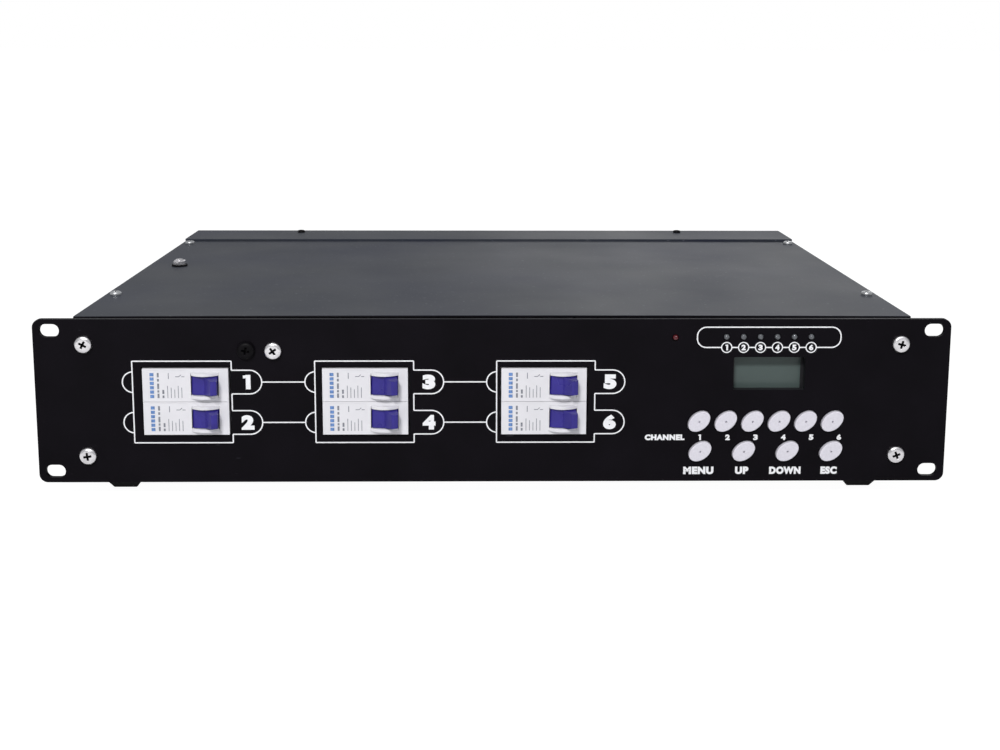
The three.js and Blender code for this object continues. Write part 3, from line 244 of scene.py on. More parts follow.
def noise(tree, place, scale, detail=3.0):
    """A noise of so many spots to the metre."""
    texture = tree.nodes.new("ShaderNodeTexNoise")
    texture.inputs["Scale"].default_value = scale
    texture.inputs["Detail"].default_value = detail
    tree.links.new(place, texture.inputs["Vector"])
    return texture.outputs["Fac"]


def between(tree, value, low, high, band=(0.3, 0.7)):
    """Maps a band of a noise's values onto a range."""
    span = tree.nodes.new("ShaderNodeMapRange")
    for name, bound in zip(("From Min", "From Max", "To Min", "To Max"), (*band, low, high)):
        span.inputs[name].default_value = bound
    tree.links.new(value, span.inputs["Value"])
    return span.outputs["Result"]


def blended(tree, amount, first, second):
    """A colour between two others; each is a colour or a socket."""
    mix = tree.nodes.new("ShaderNodeMix")
    mix.data_type = "RGBA"
    tree.links.new(amount, mix.inputs["Factor"])
    for socket, colour in ((mix.inputs[6], first), (mix.inputs[7], second)):
        if isinstance(colour, tuple):
            socket.default_value = (*colour, 1)
        else:
            tree.links.new(colour, socket)
    return mix.outputs[2]


def shade(colour, factor):
    return tuple(min(1.0, channel * factor) for channel in colour)


# %% The recipe for a finish
SCRATCHES, SCRATCH_PATCHES, SCRATCH_BAND, PATCH_BAND = 560, 17, (0.76, 0.785), (0.56, 0.66)
SCRATCH_TURN, SCRATCH_STRETCH = (0.3, 0.2, 0.5), (0.2, 1.3, 1.0)
SPECK_BAND = (0.7, 0.78)
FINISHES = {}


def finish(name, colour, roughness, *, metallic=0.0, specular=0.5, tone=(25, 0.08),
           polish=(60, 0.05), grain=(1500, 0.02), scratch=None, speck=None, second=None):
    """A painted, plated or moulded surface, which is kept in FINISHES.

    tone is (spots to the metre, share) of the colour's drift, polish the same for roughness, grain
    is (grains to the metre, height in millimetres), scratch is (colour, strength), speck is (spots
    to the metre, colour, strength), and second is another colour that the drift leads to.
    """
    material = FINISHES[name] = bpy.data.materials.new(name)
    material.use_nodes = True
    tree = material.node_tree
    shader = tree.nodes["Principled BSDF"]
    place = tree.nodes.new("ShaderNodeTexCoord").outputs["Object"]
    drift = between(tree, noise(tree, place, tone[0], 6.0), 0, 1)
    base = blended(tree, drift, shade(colour, 1 - tone[1]), second or shade(colour, 1 + tone[1]))
    rough = between(tree, noise(tree, place, polish[0]), roughness - polish[1],
                    roughness + polish[1])
    if scratch:
        stretch = tree.nodes.new("ShaderNodeMapping")
        stretch.inputs["Rotation"].default_value = SCRATCH_TURN
        stretch.inputs["Scale"].default_value = SCRATCH_STRETCH
        tree.links.new(place, stretch.inputs["Vector"])
        streak = noise(tree, stretch.outputs["Vector"], SCRATCHES, 1.0)
        patch = noise(tree, place, SCRATCH_PATCHES, 1.0)
        where = between(tree, patch, 0, scratch[1], PATCH_BAND)
        line = calculated(tree, "MULTIPLY", between(tree, streak, 0, 1, SCRATCH_BAND), where)
        base = blended(tree, line, base, scratch[0])
    if speck:
        spots = between(tree, noise(tree, place, speck[0], 1.0), 0, speck[2], SPECK_BAND)
        base = blended(tree, spots, base, speck[1])
    tree.links.new(base, shader.inputs["Base Color"])
    tree.links.new(rough, shader.inputs["Roughness"])
    shader.inputs["Metallic"].default_value = metallic
    shader.inputs["Specular IOR Level"].default_value = specular
    bump = tree.nodes.new("ShaderNodeBump")
    bump.inputs["Strength"].default_value = 1.0
    bump.inputs["Distance"].default_value = grain[1] * MM
    tree.links.new(noise(tree, place, grain[0], 2.0), bump.inputs["Height"])
    tree.links.new(bump.outputs["Normal"], shader.inputs["Normal"])


# %% The pack's finishes
finish("panel_black", (0.0034, 0.0026, 0.0042), 0.42, specular=0.06, tone=(30, 0.25),
       polish=(45, 0.08), grain=(1400, 0.012), scratch=((0.05, 0.05, 0.06), 0.4))
# A lighter coat for faces of the panel that look up: a painted highlight for the light from above.
finish("panel_painted_highlight", (0.012, 0.0115, 0.014), 0.45, specular=0.2, tone=(30, 0.25),
       grain=(1400, 0.012))
finish("cover_grey", (0.0175, 0.022, 0.040), 0.48, specular=0.27, tone=(9, 0.09),
       polish=(14, 0.035), grain=(1100, 0.035), scratch=((0.2, 0.21, 0.22), 0.35),
       speck=(450, (0.14, 0.15, 0.17), 0.6), second=(0.042, 0.046, 0.053))
finish("nickel", (0.82, 0.8, 0.82), 0.24, metallic=1.0, tone=(300, 0.1), polish=(500, 0.1),
       grain=(2500, 0.01))
finish("black_steel", (0.003, 0.0026, 0.0035), 0.45, specular=0.08, tone=(300, 0.3),
       grain=(2500, 0.01))
finish("zinc_steel", (0.55, 0.56, 0.57), 0.35, metallic=1.0, tone=(120, 0.12), polish=(150, 0.1),
       grain=(1200, 0.01))
finish("rubber", (0.012, 0.012, 0.013), 0.8, specular=0.3, grain=(1800, 0.05))
finish("breaker_white", (0.7, 0.69, 0.72), 0.42, specular=0.4, tone=(70, 0.03), grain=(2200, 0.012))
finish("toggle_blue", (0.028, 0.02, 0.215), 0.3, specular=0.35, tone=(150, 0.12),
       grain=(1800, 0.012))
finish("button_grey", (0.66, 0.64, 0.7), 0.5, specular=0.35, tone=(900, 0.05), grain=(1300, 0.035),
       speck=(1400, (0.42, 0.41, 0.46), 0.6))
finish("display_green", (0.075, 0.1, 0.095), 0.2, specular=0.25, tone=(60, 0.04),
       grain=(1500, 0.002))
finish("board_green", (0.012, 0.1, 0.035), 0.4, tone=(400, 0.2))
finish("board_brown", (0.3, 0.19, 0.08), 0.5, tone=(400, 0.15))
finish("lamp_clear", (0.1, 0.105, 0.115), 0.1, tone=(900, 0.3), grain=(900, 0.01))
finish("lamp_red", (0.08, 0.008, 0.012), 0.12, tone=(900, 0.3), grain=(900, 0.01))
finish("aluminium", (0.62, 0.63, 0.65), 0.32, metallic=1.0, polish=(200, 0.08), grain=(900, 0.02))
finish("copper_winding", (0.42, 0.13, 0.045), 0.3, metallic=0.9, tone=(800, 0.3), grain=(700, 0.2))
finish("core_steel", (0.18, 0.18, 0.19), 0.42, metallic=0.7, tone=(900, 0.3), grain=(1000, 0.08))
finish("plastic_black", (0.014, 0.014, 0.016), 0.45, specular=0.35, tone=(200, 0.15),
       grain=(1800, 0.015))
finish("plastic_grey", (0.3, 0.31, 0.32), 0.5, tone=(200, 0.08))

# %% The inks
INKS = {"print_white": ((0.8, 0.8, 0.82), 500, 0.05), "print_grey": ((0.2, 0.21, 0.24), 900, 0.25),
        "print_blue": ((0.13, 0.24, 0.5), 900, 0.3)}
for name, (colour, spots, drift) in INKS.items():
    finish(name, colour, 0.5, specular=0.3, tone=(spots, drift), grain=(2500, 0.004))

# %% Finishes of the nodes that stay
for part in frame["record"]["subparts"]:
    for material_slot in frame["nodes"][part["node"]].material_slots:
        material_slot.material = FINISHES[part["material_slot"]]
print("finishes:", len(FINISHES), "of which", len(INKS), "are inks")

# %% [markdown]
# ## Ways of working
# Every piece starts as a primitive at its size and place and is then shaped as it would be by hand.
# The helpers keep to that: one selects a piece alone, one opens edit mode, one picks faces or edges
# by their place, and a few run a modifier and apply it. A wide bevel makes round corners, and a
# narrow one at the end breaks every sharp edge, which is what makes an edge catch the light.

# %% Primitives


def alone(piece):
    """Selects one piece and nothing else."""
    bpy.ops.object.select_all(action="DESELECT")
    piece.select_set(True)
    bpy.context.view_layer.objects.active = piece
    return piece


def placed(name):
    """Names the new primitive and settles its place in its mesh."""
    piece = alone(bpy.context.object)
    piece.name = piece.data.name = name
    bpy.ops.object.transform_apply(location=True, rotation=True, scale=True)
    return piece


def slab(name, low, high):
    """A box from its lowest to its highest corner."""
    low, high = Vector(low), Vector(high)
    bpy.ops.mesh.primitive_cube_add(size=1, location=(low + high) / 2, scale=high - low)
    return placed(name)


def rod(name, radius, start, end, sides=48):
    """A round bar between two points."""
    start, end = Vector(start), Vector(end)
    along = end - start
    bpy.ops.mesh.primitive_cylinder_add(
        vertices=sides, radius=radius, depth=along.length, location=(start + end) / 2,
        rotation=along.to_track_quat("Z", "Y").to_euler())
    return placed(name)


def post(name, radius, x, z, near, far, sides=48):
    """A round bar from front to back, in millimetres."""
    return rod(name, radius * MM, at(x, near, z), at(x, far, z), sides)


# %% Shaping in edit mode


@contextmanager
def shaping(piece, kind="FACE", action="DESELECT"):
    """Edit mode on one piece, with nothing selected at first, or all of it."""
    alone(piece)
    bpy.ops.object.mode_set(mode="EDIT")
    bpy.ops.mesh.select_mode(type=kind)
    bpy.ops.mesh.select_all(action=action)
    yield bmesh.from_edit_mesh(piece.data)
    bpy.ops.object.mode_set(mode="OBJECT")


def pick_faces(mesh, test):
    """Selects the faces whose middle and normal pass a test."""
    for face in mesh.faces:
        if test(face.calc_center_median(), face.normal):
            face.select_set(True)


def pick_edges(mesh, test):
    """Selects the edges whose middle and direction pass a test."""
    for edge in mesh.edges:
        first, last = (vertex.co for vertex in edge.verts)
        if test((first + last) / 2, (last - first).normalized()):
            edge.select_set(True)


def bevel_edges(piece, radius, segments, test, **settings):
    with shaping(piece, "EDGE") as mesh:
        pick_edges(mesh, test)
        bpy.ops.mesh.bevel(offset=radius, segments=segments, affect="EDGES", **settings)
    return piece


def round_edges(piece, axis, radius, segments=10, where=lambda middle: True):
    """Rounds the edges that run along an axis."""
    return bevel_edges(piece, radius, segments,
                       lambda middle, along: abs(along[axis]) > 0.99 and where(middle))


def round_rim(piece, axis, radius, segments, where, **settings):
    """Rounds the rim of an end, whose edges run across an axis."""
    return bevel_edges(piece, radius, segments,
                       lambda middle, along: abs(along[axis]) < 0.1 and where(middle), **settings)


def taper(piece, way, scale):
    """Narrows a piece towards the faces that look a way."""
    with shaping(piece) as mesh:
        pick_faces(mesh, lambda middle, normal: normal.dot(way) > 0.5)
        bpy.ops.transform.resize(value=scale)
    return piece


def cut_off(piece, place, way):
    """Cuts off what lies beyond a plane and closes the cut."""
    with shaping(piece, action="SELECT"):
        bpy.ops.mesh.bisect(plane_co=place, plane_no=way, clear_outer=True, use_fill=True)
    return piece


# %% Cutting and joining


def apply_modifier(piece, kind, **settings):
    """Adds one modifier, sets it and applies it."""
    alone(piece)
    modifier = piece.modifiers.new(kind.lower(), kind)
    for setting, value in settings.items():
        setattr(modifier, setting, value)
    bpy.ops.object.modifier_apply(modifier=modifier.name)


def joined(name, *pieces):
    """Makes several pieces one object."""
    bpy.ops.object.select_all(action="DESELECT")
    for piece in pieces:
        piece.select_set(True)
    bpy.context.view_layer.objects.active = pieces[0]
    bpy.ops.object.join()
    pieces[0].name = pieces[0].data.name = name
    return pieces[0]


def discard(*pieces):
    for piece in pieces:
        bpy.data.objects.remove(piece)


def carve(piece, *tools, operation="DIFFERENCE"):
    """Cuts tools that do not touch each other out of a piece."""
    tool = joined("tool", *tools) if len(tools) > 1 else tools[0]
    apply_modifier(piece, "BOOLEAN", object=tool, operation=operation, solver="EXACT")
    discard(tool)
    return piece


def fuse(piece, *others):
    for other in others:
        carve(piece, other, operation="UNION")
    return piece


# %% Finishing a piece
CASING = "casing"


def smooth(piece, angle=35):
    """Shades what turns by less than an angle smooth."""
    alone(piece)
    bpy.ops.object.shade_smooth_by_angle(angle=math.radians(angle))
    apply_modifier(piece, "WEIGHTED_NORMAL", keep_sharp=True)
    return piece


def soften(piece, width, segments=2, angle=35):
    """Breaks all sharp edges and shades what is left smooth."""
    apply_modifier(piece, "BEVEL", width=width, segments=segments, limit_method="ANGLE",
                   angle_limit=math.radians(angle), miter_outer="MITER_ARC")
    return smooth(piece, angle)


def twin(pattern, name, place, turn=Matrix()):
    """A copy of a pattern with its own mesh, turned and sized by a matrix and set at a place."""
    alone(pattern)
    bpy.ops.object.duplicate()
    piece = bpy.context.object
    piece.name = piece.data.name = name
    piece.data.transform(Matrix.Translation(place) @ turn)
    return piece


def dress(piece, look, stands_for=None, body=CASING, second="black_steel"):
    """Gives a finished piece its finish, its body, and the node that it stands for.

    Faces marked with a second material get the second finish, such as painted shade in a screw's
    recess.
    """
    marked = [face.index for face in piece.data.polygons if face.material_index]
    piece.data.materials.clear()
    piece.data.materials.append(FINISHES[look])
    if marked:
        piece.data.materials.append(FINISHES[second])
    for index in marked:
        piece.data.polygons[index].material_index = 1
    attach(piece, body)
    if stands_for:
        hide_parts(stands_for)
    print(piece.name, len(piece.data.polygons), "faces")


# %% [markdown]
# ## Front panel
# The panel is a 3 mm plate with rounded ears, four rack slots, three windows for the breakers, oval
# holes for the keys and small ones for the lamps. It could be drawn as an outline and given
# thickness, but a box that is rounded and then cut by tools of each hole's shape keeps every hole a
# thing that can be moved. The edges are broken by 0.3 mm, as a coated plate's are.

# %% Values of the panel
THROUGH = 2
PANEL_THICKNESS, PANEL_CORNER, PANEL_MIDDLE = 3, 4.5, 44.25
FULL_ROUND = 0.499
SLOT_X, SLOT_RISE, SLOT_LENGTH, SLOT_HEIGHT = 232.55, 38.1, 10.5, 7.0
WINDOW_XS = [spot(f"breaker_{number}")[0] for number in (1, 3, 5)]
WINDOW_WIDTH, WINDOW_HEIGHT, WINDOW_CORNER = 46.6, 37.4, 1.0
CHANNEL_TILT, MENU_TILT = 41, 36.5
KEYS = [(f"channel_button_{i + 1}", f"channel_key_{i + 1}", CHANNEL_TILT) for i in range(6)]
KEYS += [(f"{word}_button", f"{word}_key", MENU_TILT) for word in ("menu", "up", "down", "esc")]
KEY_LONG, KEY_SHORT, KEY_GAP = 6.6, 4.5, 0.35
DISPLAY_X, DISPLAY_Z = spot("display_glass")
DISPLAY_WIDTH, DISPLAY_HEIGHT = 37.9, 17.7
LAMP_MARGIN, LAMP_HOLE = 2.9, 1.8
lamps_low, lamps_high = extent("channel_led_bar")
LAMP_PITCH = (lamps_high.x - lamps_low.x - 2 * LAMP_MARGIN) / 5
LAMP_Z = (lamps_low.z + lamps_high.z) / 2
LAMPS = [(lamps_low.x + LAMP_MARGIN + i * LAMP_PITCH, LAMP_Z) for i in range(6)]
POWER_LAMP = spot("power_led")
print("windows at", [round(x, 2) for x in WINDOW_XS], "lamps every", round(LAMP_PITCH, 2))


def plate(x, z, width, height, corner, near=-THROUGH, far=PANEL_THICKNESS + THROUGH, segments=8,
          name="tool"):
    """A plate with round corners that faces the front, or a tool of that shape."""
    piece = slab(name, at(x - width / 2, near, z - height / 2),
                 at(x + width / 2, far, z + height / 2))
    return round_edges(piece, Y, corner * MM, segments)


def oval(x, z, tilt, long, short, near=-THROUGH, far=PANEL_THICKNESS + THROUGH, sides=48):
    """A bar of oval section whose long axis leans by a tilt."""
    bpy.ops.mesh.primitive_cylinder_add(
        vertices=sides, radius=1, depth=1, location=at(x, (near + far) / 2, z),
        rotation=(math.pi / 2, -math.radians(tilt), 0),
        scale=(long * MM, short * MM, (far - near) * MM))
    return placed("tool")


# %% Panel
panel = slab("panel", PANEL_LOW, PANEL_HIGH)
round_edges(panel, Y, PANEL_CORNER * MM)
tools = [plate(side * SLOT_X, PANEL_MIDDLE + level * SLOT_RISE, SLOT_LENGTH, SLOT_HEIGHT,
               SLOT_HEIGHT * FULL_ROUND) for side in (-1, 1) for level in (-1, 1)]
tools += [plate(x, PANEL_MIDDLE, WINDOW_WIDTH, WINDOW_HEIGHT, WINDOW_CORNER) for x in WINDOW_XS]
tools += [plate(DISPLAY_X, DISPLAY_Z, DISPLAY_WIDTH, DISPLAY_HEIGHT, WINDOW_CORNER)]
tools += [oval(*spot(node_name), tilt, KEY_LONG + KEY_GAP, KEY_SHORT + KEY_GAP)
          for node_name, body, tilt in KEYS]
tools += [oval(x, z, 0, LAMP_HOLE, LAMP_HOLE, sides=24) for x, z in [*LAMPS, POWER_LAMP]]
carve(panel, *tools)
soften(panel, 0.3 * MM)

# %% The panel's top and the display's sill
# Both catch the light from above, so they get a lighter coat than the front: a painted highlight
# on the panel's top and on the display's sill.
TOP_DEPTH, SILL_DEPTH = 0.1, 0.4
sill = at(DISPLAY_X, 0, DISPLAY_Z - DISPLAY_HEIGHT / 2)
for face in panel.data.polygons:
    on_top = face.center.z > PANEL_HIGH.z - TOP_DEPTH * MM
    on_sill = (abs(face.center.x - sill.x) < DISPLAY_WIDTH / 2 * MM
               and abs(face.center.z - sill.z) < SILL_DEPTH * MM)
    face.material_index = int(face.normal.z > 0.5 and (on_top or on_sill))
dress(panel, "panel_black", "front_panel", second="panel_painted_highlight")

# %% [markdown]
# ## Covers
# Two sheets close the pack: a long one over the works, and a narrow strip over the terminals that
# overlaps it, one sheet higher. Folded sheet metal has no sharp edge, so the front of the cover is
# rounded over, which gives the thin bright line behind the panel. Below it the cover's front face
# is
# painted black: painted shade for the dark gap to the panel. Flat sheets never stay quite flat
# either, so the long cover crowns by half a millimetre in the middle, and by less at the back,
# where the strip holds it down.

# %% Values of the covers
SHEET, FOLD, COVER_GAP = 1.2, 0.5, 1.2
COVER_CROWN, CROWN_LOST, COVER_CUTS = 0.5, 0.6, 24
FLANGE, REAR_FLANGE = 12, 20
HEM_GAP, HEM_SUNK = 0.3, 0.5
STRIP_LOW, STRIP_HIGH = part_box("terminal_cover")
BODY_SIDE, COVER_BACK, COVER_TOP = extent("top_cover")[1]
(_, SEAM_Y, STRIP_UNDER), (_, BACK_OUTER, _) = extent("terminal_cover")
print("cover to", round(COVER_TOP, 2), "seam at", round(SEAM_Y, 2), "back at", round(BACK_OUTER, 2))

# %% Top cover
cover_front = COVER_LOW.y + COVER_GAP * MM
cover = slab("cover", (COVER_LOW.x, cover_front, COVER_LOW.z), COVER_HIGH)
with shaping(cover, "EDGE") as mesh:
    pick_edges(mesh, lambda middle, along: abs(along.x) > 0.99)
    bpy.ops.mesh.subdivide(number_cuts=COVER_CUTS)
for vertex in cover.data.vertices:
    across = 1 - (vertex.co.x / COVER_HIGH.x) ** 2
    depth = (vertex.co.y - cover_front) / (COVER_HIGH.y - cover_front)
    vertex.co.z += COVER_CROWN * MM * across * (1 - CROWN_LOST * depth)
round_edges(cover, X, FOLD * MM, 4, lambda middle: middle.z > COVER_HIGH.z - 0.1 * MM
            and middle.y < cover_front + MM)
soften(cover, 0.25 * MM, 2, 50)
# The faces that look to the front get the black coat of the panel: painted shade for the gap.
for face in cover.data.polygons:
    face.material_index = int(face.normal.y < -0.8)
dress(cover, "cover_grey", "top_cover", second="panel_black")

# %% Strip over the terminals
strip = slab("terminal_strip", (STRIP_LOW.x, STRIP_LOW.y, STRIP_HIGH.z - SHEET * MM), STRIP_HIGH)
hems = [slab("hem", at(inner, COVER_BACK + HEM_GAP, STRIP_UNDER),
             at(inner + FLANGE, BACK_OUTER - REAR_FLANGE - HEM_GAP, COVER_TOP + HEM_SUNK))
        for inner in (-BODY_SIDE, BODY_SIDE - FLANGE)]
fuse(strip, *hems)
soften(strip, 0.35 * MM, 3)
dress(strip, "cover_grey", "terminal_cover")

# %% [markdown]
# ## Tray
# The tray is one sheet folded up at both sides. A box with its top, front and back left open shows
# that best: the two lower edges are rounded as a press brake leaves them, the upper ones are
# extruded inwards as flanges, and the walls get their thickness from a modifier. The air slots are
# cut after that, with round ends as a punch makes them, and a lip behind the panel comes last.

# %% Tray
VENT_COUNT, VENT_PITCH, VENT_BACK = 12, 12, 251
VENT_WIDTH, VENT_HEIGHT = 3, 34
BEND = 2.2
LIP_NEAR, LIP_FAR, LIP_LOW, LIP_HIGH = 3.3, 4.5, 0.5, 8.7

tray = slab("tray", TRAY_LOW, TRAY_HIGH)
with shaping(tray) as mesh:
    pick_faces(mesh, lambda middle, normal: normal.z > 0.5 or abs(normal.y) > 0.5)
    bpy.ops.mesh.delete(type="FACE")
round_edges(tray, Y, BEND * MM, 6, lambda middle: middle.z < TRAY_LOW.z + MM)
with shaping(tray, "EDGE") as mesh:
    pick_edges(mesh, lambda middle, along: abs(along.y) > 0.99 and middle.z > TRAY_HIGH.z - MM)
    bpy.ops.mesh.extrude_region_move()
    for vertex in mesh.verts:
        if vertex.select:
            vertex.co.x -= math.copysign(FLANGE * MM, vertex.co.x)
apply_modifier(tray, "SOLIDIFY", thickness=SHEET * MM, offset=-1, use_even_offset=True)
with shaping(tray, action="SELECT"):
    bpy.ops.mesh.normals_make_consistent(inside=False)

# %% Air slots and lip of the tray
vents = []
for wall in (SHEET / 2 - BODY_SIDE, BODY_SIDE - SHEET / 2):
    for i in range(VENT_COUNT):
        y = VENT_BACK - i * VENT_PITCH
        vent = slab("tool", at(wall - THROUGH, y - VENT_WIDTH / 2, PANEL_MIDDLE - VENT_HEIGHT / 2),
                    at(wall + THROUGH, y + VENT_WIDTH / 2, PANEL_MIDDLE + VENT_HEIGHT / 2))
        vents.append(round_edges(vent, X, VENT_WIDTH * FULL_ROUND * MM, 6))
carve(tray, *vents)
fuse(tray, slab("lip", at(-BODY_SIDE, LIP_NEAR, LIP_LOW), at(BODY_SIDE, LIP_FAR, LIP_HIGH)))
soften(tray, 0.2 * MM, 2)
dress(tray, "cover_grey", "chassis_tray")

# %% [markdown]
# ## Rear panel
# The back is a plate that turns over at the top, under the strip. It carries the two cable glands,
# a grille of slots before the fan, and the two signal sockets.

# %% Rear panel
GLAND_XS = {node_name: spot(node_name)[0] for node_name in ("mains_gland", "load_gland")}
SOCKET_XS = {kind: spot(f"dmx_{kind}_socket")[0] for kind in ("output", "input")}
GLAND_HOLE, SOCKET_HOLE = 12.4, 12.0
FAN_X, FAN_BORE, FAN_SCREW_SPAN = spot("fan_frame")[0], 23.6, 40
GRILLE_PITCH, GRILLE_SLOT, GRILLE_CORNER = 6, 3, 1.49
BACK_INNER, BACK_LOW, BACK_FOLD = BACK_OUTER - SHEET, 0.5, 0.8

back = slab("back", at(-BODY_SIDE, BACK_INNER, BACK_LOW), at(BODY_SIDE, BACK_OUTER, COVER_TOP))
fuse(back, slab("fold", at(-BODY_SIDE, BACK_OUTER - REAR_FLANGE, COVER_TOP - SHEET),
                at(BODY_SIDE, BACK_OUTER - 0.2, COVER_TOP)))
fold_from = at(0, BACK_OUTER - 0.3, COVER_TOP - 0.1)
round_edges(back, X, BACK_FOLD * MM, 4,
            lambda middle: middle.z > fold_from.z and middle.y > fold_from.y)
near, far = BACK_INNER - THROUGH, BACK_OUTER + THROUGH
tools = [post("tool", GLAND_HOLE, x, PANEL_MIDDLE, near, far) for x in GLAND_XS.values()]
tools += [post("tool", SOCKET_HOLE, x, PANEL_MIDDLE, near, far) for x in SOCKET_XS.values()]
for row in range(-3, 4):
    rise = row * GRILLE_PITCH
    reach = math.sqrt(FAN_BORE ** 2 - rise ** 2)
    tools.append(plate(FAN_X, PANEL_MIDDLE + rise, 2 * reach, GRILLE_SLOT, GRILLE_CORNER,
                       near, far, 6))
carve(back, *tools)
soften(back, 0.2 * MM, 2)
dress(back, "cover_grey", "rear_panel")

# %% [markdown]
# ## Screws
# All screws are of one kind: a pan head with a cross recess. One pattern is made with a head of
# radius one, standing on the origin and looking up. The head is a disc whose rim is rounded far in,
# and the recess is two tapered wedges that meet in a pit, whose faces get a black finish as painted
# shade for the deep recess. Each screw is then a copy at its own size, turned by its own angle, as
# fitted screws are.

# %% Screw pattern
HEAD_HEIGHT, HEAD_ROUND = 0.6, 0.42
SHANK_RADIUS, SHANK_LENGTH, SHANK_SUNK = 0.5, 0.5, 0.05
RECESS_LONG, RECESS_WIDE, RECESS_DEEP, RECESS_EDGE = 1.22, 0.27, 0.5, 0.06
RECESS_TAPER = (0.35, 0.7, 1)
FRONT, BACK, UP, DOWN = (Vector(way) for way in ((0, -1, 0), (0, 1, 0), (0, 0, 1), (0, 0, -1)))

screw_pattern = rod("screw_pattern", 1, (0, 0, 0), (0, 0, HEAD_HEIGHT), 40)
round_rim(screw_pattern, Z, HEAD_ROUND, 6, lambda middle: middle.z > HEAD_HEIGHT * 0.9,
          profile=0.55, clamp_overlap=False)


def wedge(angle):
    """One arm of the recess: a plank that tapers towards its lower face."""
    plank = slab("wedge", (-RECESS_LONG / 2, -RECESS_WIDE / 2, HEAD_HEIGHT - RECESS_DEEP),
                 (RECESS_LONG / 2, RECESS_WIDE / 2, HEAD_HEIGHT * 1.5))
    taper(plank, DOWN, RECESS_TAPER)
    plank.data.transform(Matrix.Rotation(angle, 4, "Z"))
    return plank


carve(screw_pattern, fuse(wedge(0), wedge(math.pi / 2)))
fuse(screw_pattern, rod("shank", SHANK_RADIUS, (0, 0, -SHANK_LENGTH), (0, 0, SHANK_SUNK), 24))
soften(screw_pattern, 0.03, 2, 40)
# The faces down in the recess get the black finish: painted shade, as the deep recess lies in
# shade.
for face in screw_pattern.data.polygons:
    inside = math.hypot(*face.center.xy) < RECESS_LONG / 2
    face.material_index = int(inside and SHANK_SUNK < face.center.z < HEAD_HEIGHT - RECESS_EDGE)


def screw(name, place, normal, radius, look, turned=0.0, stands_for=None):
    """A copy of the pattern with its head on a place, looking along a normal."""
    stand = normal.to_track_quat("Z", "Y").to_matrix().to_4x4()
    turn = (stand @ Matrix.Rotation(math.radians(turned), 4, "Z") @ Matrix.Scale(radius * MM, 4))
    dress(twin(screw_pattern, name, place, turn), look, stands_for)


# %% Screws of the panel, the covers and the fan
PANEL_SCREWS = {"top_left": 62, "bottom_left": 8, "top_right": 75, "bottom_right": 20,
                "earth": 35, "black": 80}
PANEL_SCREW, COVER_SCREW, STRIP_SCREW, FAN_SCREW = 4.7, 3.2, 2.8, 3.4
SEAT_GAP, STRIP_TOP = 0.05, COVER_TOP + 1.5
COVER_SCREW_X, COVER_SCREW_YS = BODY_SIDE - 6, (66, SEAM_Y - 12.5)
STRIP_SCREW_X, STRIP_SCREW_Y = 141.7, BACK_OUTER - 10
SIDES, LEVELS = ((-1, "l"), (1, "r")), ((-1, "b"), (1, "t"))

for ending, turned in PANEL_SCREWS.items():
    node_name = f"panel_screw_{ending}"
    x, z = spot(node_name)
    screw(f"front_screw_{ending}", at(x, -SEAT_GAP, z), FRONT, PANEL_SCREW,
          "black_steel" if ending == "black" else "nickel", turned, node_name)
for i, (side, y) in enumerate((side, y) for side in (-1, 1) for y in COVER_SCREW_YS):
    screw(f"cover_screw_{i + 1}", at(side * COVER_SCREW_X, y, COVER_TOP + SEAT_GAP), UP,
          COVER_SCREW, "zinc_steel", 25 * i)
for i, side in enumerate((-1, 1)):
    screw(f"strip_screw_{i + 1}", at(side * STRIP_SCREW_X, STRIP_SCREW_Y, STRIP_TOP), UP,
          STRIP_SCREW, "black_steel", 40 * i + 10)
for side, side_letter in SIDES:
    for level, level_letter in LEVELS:
        place = at(FAN_X + side * FAN_SCREW_SPAN / 2, BACK_OUTER,
                   PANEL_MIDDLE + level * FAN_SCREW_SPAN / 2)
        screw(f"fan_screw_{side_letter}{level_letter}", place, BACK, FAN_SCREW, "black_steel",
              30 * side + 20 * level)

# %% Earth bolt
# Each value is (radius, lower end, upper end, sides).
WASHER, NUT, STUD = (5.0, 89.4, 90.2, 40), (3.9, 90.0, 93.0, 6), (2.2, 89.6, 93.55, 24)
NUT_ROUND, NUT_RIM = 0.7, at(0, 0, 92.9).z
TEETH, TOOTH_LOW, TOOTH_HIGH = 12, (3.9 * MM, -0.7 * MM, 0), (5.6 * MM, 0.7 * MM, 0.9 * MM)
TOOTH_TWIST, TEETH_Z, PAINTED_SHADE_BELOW = 0.35, 90.0, at(0, 0, 90.35).z
bolt_low, bolt_high = extent("cover_bolt")
bolt_x, bolt_y = ((bolt_low + bolt_high) / 2).xy


def bolt_bar(name, radius, low, high, sides):
    return rod(name, radius * MM, at(bolt_x, bolt_y, low), at(bolt_x, bolt_y, high), sides)


bolt = bolt_bar("earth_bolt", *WASHER)
teeth = []
for i in range(TEETH):
    tooth = slab("tooth", TOOTH_LOW, TOOTH_HIGH)
    tooth.data.transform(Matrix.Translation(at(bolt_x, bolt_y, TEETH_Z))
                         @ Matrix.Rotation(i * math.tau / TEETH, 4, "Z")
                         @ Matrix.Rotation(TOOTH_TWIST, 4, "X"))
    teeth.append(tooth)
carve(bolt, *teeth)
nut = round_rim(bolt_bar("nut", *NUT), Z, NUT_ROUND * MM, 3, lambda middle: middle.z > NUT_RIM)
fuse(bolt, nut, bolt_bar("stud", *STUD))
soften(bolt, 0.15 * MM, 2)
# Everything below the nut's foot gets the dark finish: painted shade on the washer and its teeth.
for face in bolt.data.polygons:
    face.material_index = int(face.center.z < PAINTED_SHADE_BELOW)
dress(bolt, "nickel", "cover_bolt")

# %% [markdown]
# ## Circuit breakers
# Only the nose of each breaker shows: a white moulded block, the two cheeks that guard its toggle,
# and the well in which the toggle's drum turns. The block is modelled once. The cheeks are discs
# around the toggle's pin, of which a bisect keeps the part before the face, and the well is cut
# with a larger drum, so the toggle has a running gap all round.

